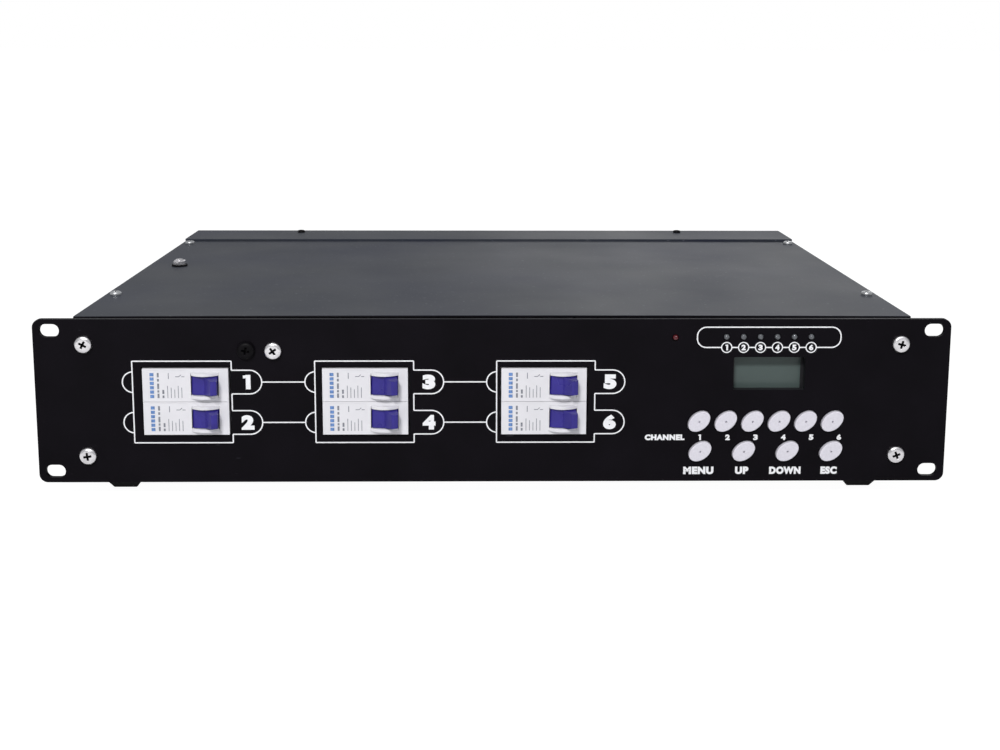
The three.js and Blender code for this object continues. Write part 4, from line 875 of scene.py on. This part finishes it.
# %% Values of a breaker
FACE_LENGTH, FACE_WIDTH, NOSE_DEPTH, CASE_BACK, CASE_LENGTH = 45, 17.8, 16, 55, 80
PROUD, ROW_RISE = 1, 9.0
PIVOT_X, PIVOT_DEPTH = 10.2, 7
DRUM, DRUM_HALF, WELL, WELL_HALF, MOUTH_AHEAD = 9.6, 5, 10.2, 5.3, 12
CHEEK, CHEEK_CHORD, CHEEK_ROOT = 1.7, 7.6, 0.3
LABEL_LEFT, LABEL_RIGHT, LABEL_HALF, LABEL_DEPTH = -19.6, 0.6, 8.1, 0.12
BREAKERS = [(column * 2 + row + 1, x, PANEL_MIDDLE + rise) for column, x in enumerate(WINDOW_XS)
            for row, rise in enumerate((ROW_RISE, -ROW_RISE))]
print("breakers:", [number for number, x, z in BREAKERS])

# %% Breaker
half = FACE_WIDTH / 2
case = slab("breaker_case", mm(-FACE_LENGTH / 2, 0, -half), mm(FACE_LENGTH / 2, CASE_BACK, half))
fuse(case, slab("case_body", mm(-CASE_LENGTH / 2, NOSE_DEPTH, -half),
                mm(CASE_LENGTH / 2, CASE_BACK, half)))


def drum(name, radius, half_height, x=PIVOT_X, y=PIVOT_DEPTH):
    """A round piece about the toggle's pin."""
    return rod(name, radius * MM, mm(x, y, -half_height), mm(x, y, half_height), 96)


cheeks = drum("cheeks", math.hypot(CHEEK_CHORD, PIVOT_DEPTH), WELL_HALF + CHEEK)
fuse(case, cut_off(cheeks, mm(0, CHEEK_ROOT, 0), (0, 1, 0)))
carve(case, drum("tool", WELL, WELL_HALF))
mouth = CHEEK_CHORD - CHEEK_ROOT
carve(case, slab("tool", mm(PIVOT_X - mouth, -MOUTH_AHEAD, -WELL_HALF),
                 mm(PIVOT_X + mouth, PIVOT_DEPTH, WELL_HALF)))
label = slab("tool", mm(LABEL_LEFT, -PROUD, -LABEL_HALF), mm(LABEL_RIGHT, LABEL_DEPTH, LABEL_HALF))
carve(case, round_edges(label, Y, 0.8 * MM, 5))
soften(case, 0.2 * MM, 3)

# %% Toggle
REST_ANGLE = 23
FLAT_ANGLE, FLAT_REACH = math.radians(-30), 8.4
NOSE_HALF, NOSE_TIP, NOSE_SUNK, NOSE_ROUND_FROM = 3.4, 15.4, 1.7, 14
NOSE_TAPER = (0.5, 1, 0.74)

flat_way = Vector((math.sin(FLAT_ANGLE), -math.cos(FLAT_ANGLE), 0))
toggle = drum("toggle_pattern", DRUM, DRUM_HALF, 0, 0)
cut_off(toggle, flat_way * FLAT_REACH * MM, flat_way)
nose = slab("nose", mm(-NOSE_HALF, -NOSE_TIP, -DRUM_HALF),
            mm(NOSE_HALF, NOSE_SUNK - DRUM, DRUM_HALF))
taper(nose, FRONT, NOSE_TAPER)
round_edges(nose, Z, 0.8 * MM, 5, lambda middle: middle.y < -NOSE_ROUND_FROM * MM)
fuse(toggle, nose)
soften(toggle, 0.4 * MM, 3)
toggle.data.transform(Matrix.Rotation(math.radians(REST_ANGLE), 4, "Z"))

# %% The six breakers
for number, x, z in BREAKERS:
    face = at(x, -PROUD, z)
    dress(twin(case, f"breaker_case_{number}", face), "breaker_white", f"breaker_{number}")
    dress(twin(toggle, f"toggle_lever_{number}", face + mm(PIVOT_X, PIVOT_DEPTH, 0)),
          "toggle_blue", f"breaker_toggle_{number}", f"toggle_{number}")
discard(case, toggle)

# %% [markdown]
# ## Keys, display and lamps
# The keys are oval caps, cut off straight and rounded at the rim, with a gate mark in the middle
# from moulding. The display lies well behind its window, so the panel's edge throws a shadow on it.
# The lamps are clear domes whose grey look comes from the dark board behind them.

# %% Keys
KEY_PROUD, CAP_BACK, CAP_ROUND = 2.0, 4, 0.5
GATE_RADIUS, GATE_DEPTH = 0.55, 1.2
SKIRT, SKIRT_NEAR, SKIRT_FAR = 0.9, 3.4, 4.5
STEM_RADIUS, STEM_END = 1.6, 7.3


def key_cap(x, z, tilt):
    """An oval cap with a rounded rim, a gate mark, a skirt behind the panel and a stem."""
    cap = oval(x, z, tilt, KEY_LONG, KEY_SHORT, -KEY_PROUD, CAP_BACK, 64)
    rim_y = at(0, 0.1 - KEY_PROUD, 0).y
    round_rim(cap, Y, CAP_ROUND * MM, 5, lambda middle: middle.y < rim_y)
    carve(cap, post("tool", GATE_RADIUS, x, z, -KEY_PROUD - THROUGH, GATE_DEPTH - KEY_PROUD, 20))
    skirt = oval(x, z, tilt, KEY_LONG + SKIRT, KEY_SHORT + SKIRT, SKIRT_NEAR, SKIRT_FAR, 48)
    fuse(cap, skirt, post("stem", STEM_RADIUS, x, z, CAP_BACK, STEM_END, 24))
    return smooth(cap, 30)


for node_name, body, tilt in KEYS:
    cap = key_cap(*spot(node_name), tilt)
    cap.name = cap.data.name = node_name.replace("button", "cap")
    dress(cap, "button_grey", node_name, body)

# %% Display
GLASS_LOW, GLASS_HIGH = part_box("display_glass")
GLASS_MARGIN, GLASS_SUNK = 0.6, 0.2
RIM_THICK, RIM_GAP = 0.5, 0.05
VIEW_LOW, VIEW_HIGH = mm(-17.2, -THROUGH, -9.6), mm(18.2, THROUGH, 7.3)

glass = slab("display", GLASS_LOW, GLASS_HIGH)
with shaping(glass) as mesh:
    pick_faces(mesh, lambda middle, normal: normal.y < -0.5)
    bpy.ops.mesh.inset(thickness=GLASS_MARGIN * MM)
    bpy.ops.transform.translate(value=(0, GLASS_SUNK * MM, 0))
soften(glass, 0.15 * MM, 2)
dress(glass, "display_green", "display_glass")
rim = slab("display_rim", GLASS_LOW - mm(0, RIM_THICK, 0),
           (GLASS_HIGH.x, GLASS_LOW.y - RIM_GAP * MM, GLASS_HIGH.z))
glass_middle = (GLASS_LOW + GLASS_HIGH) / 2
glass_middle.y = GLASS_LOW.y
carve(rim, slab("tool", glass_middle + VIEW_LOW, glass_middle + VIEW_HIGH))
dress(soften(rim, 0.15 * MM, 2), "plastic_black")

# %% Lamps
LENS_RADIUS, LENS_PROUD, LENS_BACK, LENS_ROUND = 1.5, 1.0, 9.2, 1.25
CARRIER = 3


def lens(x, z):
    """A clear rod whose tip is rounded to a dome."""
    tip_y = at(0, 0.1 - LENS_PROUD, 0).y
    return round_rim(post("lens", LENS_RADIUS, x, z, -LENS_PROUD, LENS_BACK, 32), Y,
                     LENS_ROUND * MM, 6, lambda middle: middle.y < tip_y, clamp_overlap=False)


for name, look, node_name, places in (("lamp_bar", "lamp_clear", "channel_led_bar", LAMPS),
                                      ("power_lamp", "lamp_red", "power_led", [POWER_LAMP])):
    low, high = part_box(node_name)
    carrier = slab(name, (low.x, high.y - CARRIER * MM, low.z), high)
    dress(smooth(joined(name, carrier, *[lens(x, z) for x, z in places]), 40), look, node_name)

# %% [markdown]
# ## Print
# The white lines on the panel are silk-screened: a film of ink that is a few hundredths of a
# millimetre thick. Each line is a curve with a round section that is made a mesh and then pressed
# flat, so its ends and corners stay round as ink leaves them. The figures and words are plain ones.

# %% A printed line
LINE, INK, CORNER = 0.66, 0.05, 0.3


def arc(x, z, radius, first, last, steps=14):
    """Points on an arc in the panel's plane; angles in degrees from the right, turning up."""
    angles = [math.radians(first + (last - first) * i / steps) for i in range(steps + 1)]
    return [(x + radius * math.cos(a), z + radius * math.sin(a)) for a in angles]


def corner(x, z, first, last):
    """A tight corner, which keeps the line's width round the turn."""
    return arc(x, z, CORNER, first, last, 4)


def ink_line(points, closed=False, width=LINE):
    """A printed line through points in millimetres on the panel."""
    curve = bpy.data.curves.new("line", "CURVE")
    curve.dimensions = "3D"
    curve.bevel_depth = width / 2
    curve.bevel_resolution = 2
    curve.use_fill_caps = True
    path = curve.splines.new("POLY")
    path.points.add(len(points) - 1)
    for point, (x, z) in zip(path.points, points):
        point.co = (x, 0, z, 1)
    path.use_cyclic_u = closed
    line = bpy.data.objects.new("line", curve)
    bpy.context.scene.collection.objects.link(line)
    alone(line)
    bpy.ops.object.convert(target="MESH")
    line = bpy.context.object
    flat = Matrix.Diagonal((MM, 2 * INK / width * MM, MM, 1))
    line.data.transform(Matrix.Translation(at(0, 0, 0)) @ flat)
    return line


# %% Frames round the breakers
FRAME_MIDDLES = [-164.1 + i * 95.75 for i in range(3)]
FRAME_WIDTH, FRAME_BOTTOM, FRAME_TOP = 51.4, 22.0, 65.7
TABS, TAB_LENGTH, BUMP = ((61.1, 48.3), (39.2, 26.3)), 16.1, 5.6

lines = []
for i, middle in enumerate(FRAME_MIDDLES):
    left_x, right_x = middle - FRAME_WIDTH / 2, middle + FRAME_WIDTH / 2
    outline = [*corner(left_x, FRAME_TOP, 180, 90), *corner(right_x, FRAME_TOP, 90, 0)]
    tab_x, tab_end = right_x + 2 * CORNER, right_x + TAB_LENGTH
    for top, bottom in TABS:
        radius = (top - bottom) / 2
        outline += [*corner(tab_x, top + CORNER, 180, 270),
                    *arc(tab_end - radius, (top + bottom) / 2, radius, 90, -90),
                    *corner(tab_x, bottom - CORNER, 90, 180)]
    outline += [*corner(right_x, FRAME_BOTTOM, 0, -90), *corner(left_x, FRAME_BOTTOM, -90, -180)]
    lines.append(ink_line(outline, closed=True))
    for top, bottom in TABS:
        z = (top + bottom) / 2
        lines.append(ink_line(arc(left_x, z, BUMP, 90, 270)))
        if i < 2:
            next_x = FRAME_MIDDLES[i + 1] - FRAME_WIDTH / 2 - BUMP
            lines.append(ink_line([(tab_end, z), (next_x, z)]))
dress(smooth(joined("channel_frames", *lines), 60), "print_white")

# %% Rings and loop of the lamps
RING_PITCH, RING_Z, RING_RADIUS, RING_LINE = 8.94, 73.2, 2.7, 0.57
RING_XS = [122.7 + i * RING_PITCH for i in range(6)]
RING_STEP, RING_STEPS = 8, 44
LOOP_LEFT, LOOP_RIGHT, LOOP_TOP, LOOP_STRAIGHT = 107.1, 183.0, 84.1, 0.6

loop_radius = (LOOP_TOP - RING_Z) / 2 - LOOP_STRAIGHT
low_z, high_z = RING_Z + loop_radius, LOOP_TOP - loop_radius
loop_left, loop_right = LOOP_LEFT + loop_radius, LOOP_RIGHT - loop_radius
lines = [ink_line([(RING_XS[5] + RING_RADIUS, RING_Z),
                   *arc(loop_right, low_z, loop_radius, -90, 0),
                   *arc(loop_right, high_z, loop_radius, 0, 90),
                   *arc(loop_left, high_z, loop_radius, 90, 180),
                   *arc(loop_left, low_z, loop_radius, 180, 270),
                   (RING_XS[0] - RING_RADIUS, RING_Z)])]
lines += [ink_line(arc(x, RING_Z, RING_RADIUS, 0, RING_STEP * RING_STEPS, RING_STEPS),
                   closed=True, width=RING_LINE) for x in RING_XS]
lines += [ink_line([(x + RING_RADIUS, RING_Z), (x + RING_PITCH - RING_RADIUS, RING_Z)])
          for x in RING_XS[:5]]
dress(smooth(joined("lamp_frame", *lines), 60), "print_white")

# %% A printed word
SPACING, WORD_WEIGHT = 1.14, 0.07


def ink_words(words, x, z, height, width, weight=WORD_WEIGHT):
    """Plain figures or words, as high and as wide as given, with their middle at a place."""
    bpy.ops.object.text_add(rotation=(math.pi / 2, 0, 0))
    text = bpy.context.object
    text.data.body = words
    text.data.offset = weight
    text.data.space_character = SPACING
    text.data.extrude = INK / 2
    text.data.resolution_u = 4
    alone(text)
    bpy.ops.object.convert(target="MESH")
    text = placed("words")
    corners = [vertex.co for vertex in text.data.vertices]
    low, high = Vector(map(min, *corners)), Vector(map(max, *corners))
    size, middle = high - low, (high + low) / 2
    fit = Matrix.Diagonal((width * MM / size.x, INK * MM / size.y, height * MM / size.z, 1))
    text.data.transform(Matrix.Translation(at(x, -INK / 2, z)) @ fit @ Matrix.Translation(-middle))
    return text


def figures(number, x, z, width, size):
    """A figure; a one is drawn as two strokes of a pen, with a flag at its top left."""
    height, weight, one_height, stroke = size
    if number > 1:
        return [ink_words(str(number), x, z, height, width, weight)]
    low_z, high_z = z - one_height / 2, z + one_height / 2
    stem_x, flag_z = x + stroke * 0.25, high_z - stroke * 0.35
    return [ink_line([(stem_x, low_z), (stem_x, high_z)], width=stroke),
            ink_line([(stem_x, flag_z), (stem_x - stroke, flag_z - stroke * 0.1)],
                     width=stroke * 0.62)]


# %% Figures and words
# Each size is (height, weight of the outline, height of a one, stroke of a one).
LARGE, SMALL = (8.0, 0.075, 7.8, 2.7), (3.1, 0.06, 3.1, 1.0)
NUMBER_INSET, LARGE_WIDTH, RING_FIGURE_WIDTH, KEY_FIGURE_WIDTH = 8.3, 6.8, 2.3, 2.5
KEY_FIGURES_X, KEY_FIGURES_PITCH, KEY_FIGURES_Z = 109.68, 14.9, 24.2
# Each word is (text, x, z, height, width).
WORDS = (("CHANNEL", 90.96, 24.26, 3.2, 21.2), ("MENU", 109.43, 5.9, 4.2, 16.2),
         ("UP", 132.7, 5.9, 4.2, 7.2), ("DOWN", 155.87, 5.9, 4.2, 16.9),
         ("ESC", 179.38, 5.9, 4.2, 8.8))

words = []
for i, middle in enumerate(FRAME_MIDDLES):
    for row, (top, bottom) in enumerate(TABS):
        words += figures(i * 2 + row + 1, middle + FRAME_WIDTH / 2 + NUMBER_INSET,
                         (top + bottom) / 2, LARGE_WIDTH, LARGE)
for i in range(6):
    words += figures(i + 1, RING_XS[i], RING_Z, RING_FIGURE_WIDTH, SMALL)
    words += figures(i + 1, KEY_FIGURES_X + i * KEY_FIGURES_PITCH, KEY_FIGURES_Z,
                     KEY_FIGURE_WIDTH, SMALL)
words += [ink_words(*word) for word in WORDS]
dress(joined("figures_and_words", *words), "print_white")

# %% [markdown]
# ## Marks of the breakers
# A breaker's face is printed with small type, in columns that run upwards. Its place holds plain
# marks here: a column of blue blocks, two of dark dashes, and fine grey lines with a switch symbol.
# They are drawn once, on the panel's face, and copied into the shallow pocket of each breaker.

# %% Marks of the breakers
# Each mark is (x, lower end, length).
BLUE_COLUMN = [(-17.6, -6.9 + i * 2.35, 1.75) for i in range(6)]
DARK_COLUMNS = [(-14.3, -6.9, 2.4), (-14.3, -3.9, 1.2), (-14.3, -2.1, 3.0), (-14.3, 2.0, 1.4),
                (-14.3, 4.3, 2.4), (-11.7, -6.9, 1.4), (-11.7, -4.7, 2.2)]
FINE_COLUMNS = [(-9.4 + i * 1.85, -6.9, 6.6 - (i % 3)) for i in range(5)]
SYMBOL = [[(-5.2, 4.6), (-3.4, 4.6), (-2.2, 5.6)], [(-2.0, 4.6), (-0.4, 4.6)],
          [(-8.8, 3.4), (-8.8, 6.6)]]
BLUE_WIDTH, DARK_WIDTH, FINE_WIDTH, SYMBOL_WIDTH = 2.1, 1.0, 0.34, 0.4


def upright(marks, width):
    return [ink_line([(x, z), (x, z + length)], width=width) for x, z, length in marks]


blue_marks = joined("blue_marks", *upright(BLUE_COLUMN, BLUE_WIDTH))
grey_marks = joined("grey_marks", *upright(DARK_COLUMNS, DARK_WIDTH),
                    *upright(FINE_COLUMNS, FINE_WIDTH),
                    *[ink_line(points, width=SYMBOL_WIDTH) for points in SYMBOL])
for number, x, z in BREAKERS:
    place = mm(x, LABEL_DEPTH - PROUD, z)
    dress(twin(blue_marks, f"blue_marks_{number}", place), "print_blue")
    dress(twin(grey_marks, f"grey_marks_{number}", place), "print_grey")
discard(blue_marks, grey_marks)

# %% [markdown]
# ## Feet
# The feet are square rubber blocks that narrow below. Each has a well from below for its screw.

# %% Feet
FOOT_TOP, FOOT_TIP, FOOT_HEIGHT, FOOT_FLARE = 17.4, 12.4, 9.2, 3.8
WELL_RADIUS, WELL_DEPTH, FOOT_SCREW, FOOT_SCREW_Z = 3.6, 5, 3.0, 4.9

half = FOOT_TOP / 2
foot_pattern = slab("foot_pattern", mm(-half, -half, 0), mm(half, half, FOOT_HEIGHT))
with shaping(foot_pattern, action="SELECT"):
    bpy.ops.mesh.bisect(plane_co=mm(0, 0, FOOT_FLARE), plane_no=(0, 0, 1))
taper(foot_pattern, DOWN, (FOOT_TIP / FOOT_TOP, FOOT_TIP / FOOT_TOP, 1))
carve(foot_pattern, rod("tool", WELL_RADIUS * MM, mm(0, 0, -1), mm(0, 0, WELL_DEPTH), 32))
soften(foot_pattern, 0.6 * MM, 3, 30)
for corner_name in ("front_left", "front_right", "rear_left", "rear_right"):
    node_name = f"foot_{corner_name}"
    low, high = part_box(node_name)
    place = (low + high) / 2
    place.z = low.z
    dress(twin(foot_pattern, f"rubber_{corner_name}", place), "rubber", node_name)
    screw(f"foot_screw_{corner_name}", place + mm(0, 0, FOOT_SCREW_Z), DOWN, FOOT_SCREW,
          "zinc_steel")
discard(foot_pattern)

# %% [markdown]
# ## Rear fittings
# The glands are a hexagon, a dome nut with grip ribs and a rubber seal inside its mouth. The signal
# sockets are a nickel flange round a black insert: a cup with three pins for what comes in, and a
# core with three contacts and a thumb latch for what goes out.

# %% Cable glands
# Each bar is (radius, near end, far end, sides), from the rear panel's outer face to the back.
HEXAGON, DOME = (16.2, 0.3, 5.3, 6), (14.2, 5.0, 22.3, 64)
INNER_NUT, THREAD, GLAND_BORE = (16.2, -6.5, -1.5, 6), (12.2, -9.5, 0.7, 48), (7.0, -12, 26, 48)
DOME_ROUND, DOME_ROUND_FROM = 5.6, 22
RIBS, RIB_LOW, RIB_HIGH = 16, mm(-0.7, 6.2, 13.2), mm(0.7, 15.6, 14.9)
SEAL_RADIUS, SEAL_THICK, SEAL_Y = 7.9, 1.1, 20.8


def gland_bar(name, radius, near, far, sides):
    return rod(name, radius * MM, mm(0, near, 0), mm(0, far, 0), sides)


gland = gland_bar("gland_pattern", *HEXAGON)
dome = round_rim(gland_bar("dome", *DOME), Y, DOME_ROUND * MM, 7,
                 lambda middle: middle.y > DOME_ROUND_FROM * MM)
fuse(gland, dome, gland_bar("inner", *INNER_NUT), gland_bar("thread", *THREAD))
ribs = [slab("rib", RIB_LOW, RIB_HIGH) for i in range(RIBS)]
for i, rib in enumerate(ribs):
    rib.data.transform(Matrix.Rotation(i * math.tau / RIBS, 4, "Y"))
fuse(gland, joined("ribs", *ribs))
carve(gland, gland_bar("tool", *GLAND_BORE))
soften(gland, 0.3 * MM, 2)
bpy.ops.mesh.primitive_torus_add(
    major_radius=SEAL_RADIUS * MM, minor_radius=SEAL_THICK * MM, major_segments=48,
    minor_segments=12, rotation=(math.pi / 2, 0, 0), location=mm(0, SEAL_Y, 0))
seal = smooth(placed("seal_pattern"), 60)
for node_name, x in GLAND_XS.items():
    place = at(x, BACK_OUTER, PANEL_MIDDLE)
    dress(twin(gland, f"{node_name}_body", place), "plastic_black", node_name)
    dress(twin(seal, f"{node_name}_seal", place), "rubber")
discard(gland, seal)

# %% Shell of a signal socket
# Each bar is (radius, near end, far end), from the flange's face, where less than zero is inside.
SOCKET_FACE = extent("dmx_input_socket")[1].y
FLANGE_WIDE, FLANGE_HIGH, FLANGE_THICK, FLANGE_CORNER = 26, 31, 2.4, 3
BARREL, BARREL_BORE = (11.8, -21, -2), (9.5, -15.5, 2)
SOCKET_SCREW, SOCKET_SCREW_X, SOCKET_SCREW_Z = 2.3, 9.6, 12.2


def socket_bar(name, x, radius, near, far, z=PANEL_MIDDLE, sides=48):
    return post(name, radius, x, z, SOCKET_FACE + near, SOCKET_FACE + far, sides)


def socket_shell(name, x):
    """The nickel flange and the barrel behind it, open down the middle."""
    shell = plate(x, PANEL_MIDDLE, FLANGE_WIDE, FLANGE_HIGH, FLANGE_CORNER,
                  SOCKET_FACE - FLANGE_THICK, SOCKET_FACE, name=name)
    fuse(shell, socket_bar("barrel", x, *BARREL))
    return carve(shell, socket_bar("tool", x, *BARREL_BORE))


# %% Input socket
LINER, LINER_BORE, PIN = (9.45, -15.4, -1.2), (8.6, -14.6, 2), (1.2, -15, -6)
PIN_CIRCLE, PIN_ANGLES, PIN_ROUND = 4.8, (45, 135, 270), 0.8


def pin_places(x):
    return [(x + PIN_CIRCLE * math.cos(math.radians(angle)),
             PANEL_MIDDLE + PIN_CIRCLE * math.sin(math.radians(angle))) for angle in PIN_ANGLES]


x = SOCKET_XS["input"]
shell = soften(socket_shell("input_socket", x), 0.3 * MM, 3)
dress(shell, "nickel", "dmx_input_socket")
liner = carve(socket_bar("input_liner", x, *LINER), socket_bar("tool", x, *LINER_BORE))
dress(soften(liner, 0.15 * MM, 2), "plastic_black")
tip_y = at(0, SOCKET_FACE + PIN[2] - 0.1, 0).y
pins = [round_rim(socket_bar("pin", pin_x, *PIN, pin_z, 24), Y, PIN_ROUND * MM, 4,
                  lambda middle: middle.y > tip_y) for pin_x, pin_z in pin_places(x)]
dress(smooth(joined("input_pins", *pins), 40), "nickel")

# %% Output socket and latch
CORE, CONTACT = (7.4, -15.4, -0.3), (1.6, -9, 2)
LATCH_CLEAR_LOW, LATCH_CLEAR_HIGH = mm(0.3, 1.5, 0.3), mm(0.3, 3, 0.3)
LATCH_TAPER = (0.86, 1, 0.7)

x = SOCKET_XS["output"]
shell = socket_shell("output_socket", x)
latch_low, latch_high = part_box("dmx_output_latch")
carve(shell, slab("tool", latch_low - LATCH_CLEAR_LOW, latch_high + LATCH_CLEAR_HIGH))
dress(soften(shell, 0.3 * MM, 3), "nickel", "dmx_output_socket")
core = carve(socket_bar("output_core", x, *CORE),
             *[socket_bar("tool", pin_x, *CONTACT, pin_z, 24) for pin_x, pin_z in pin_places(x)])
dress(soften(core, 0.25 * MM, 2), "plastic_black")
latch = taper(slab("output_latch", latch_low, latch_high), BACK, LATCH_TAPER)
dress(soften(latch, 0.3 * MM, 3), "plastic_black", "dmx_output_latch", "latch")
for kind, x in SOCKET_XS.items():
    for side, side_letter in SIDES:
        place = at(x + side * SOCKET_SCREW_X, SOCKET_FACE, PANEL_MIDDLE - side * SOCKET_SCREW_Z)
        screw(f"dmx_{kind}_socket_screw_{side_letter}", place, BACK, SOCKET_SCREW, "nickel",
              30 * side)
discard(screw_pattern)

# %% [markdown]
# ## The end
# The two boxes say whether the looks stayed inside the construction.

# %% Sizes
low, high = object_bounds()
boxes = {"cad": [list(cad_low), list(cad_high)], "visual": [list(low), list(high)]}
for name, ends in boxes.items():
    print(name, "box:", [[round(value, 4) for value in end] for end in ends])
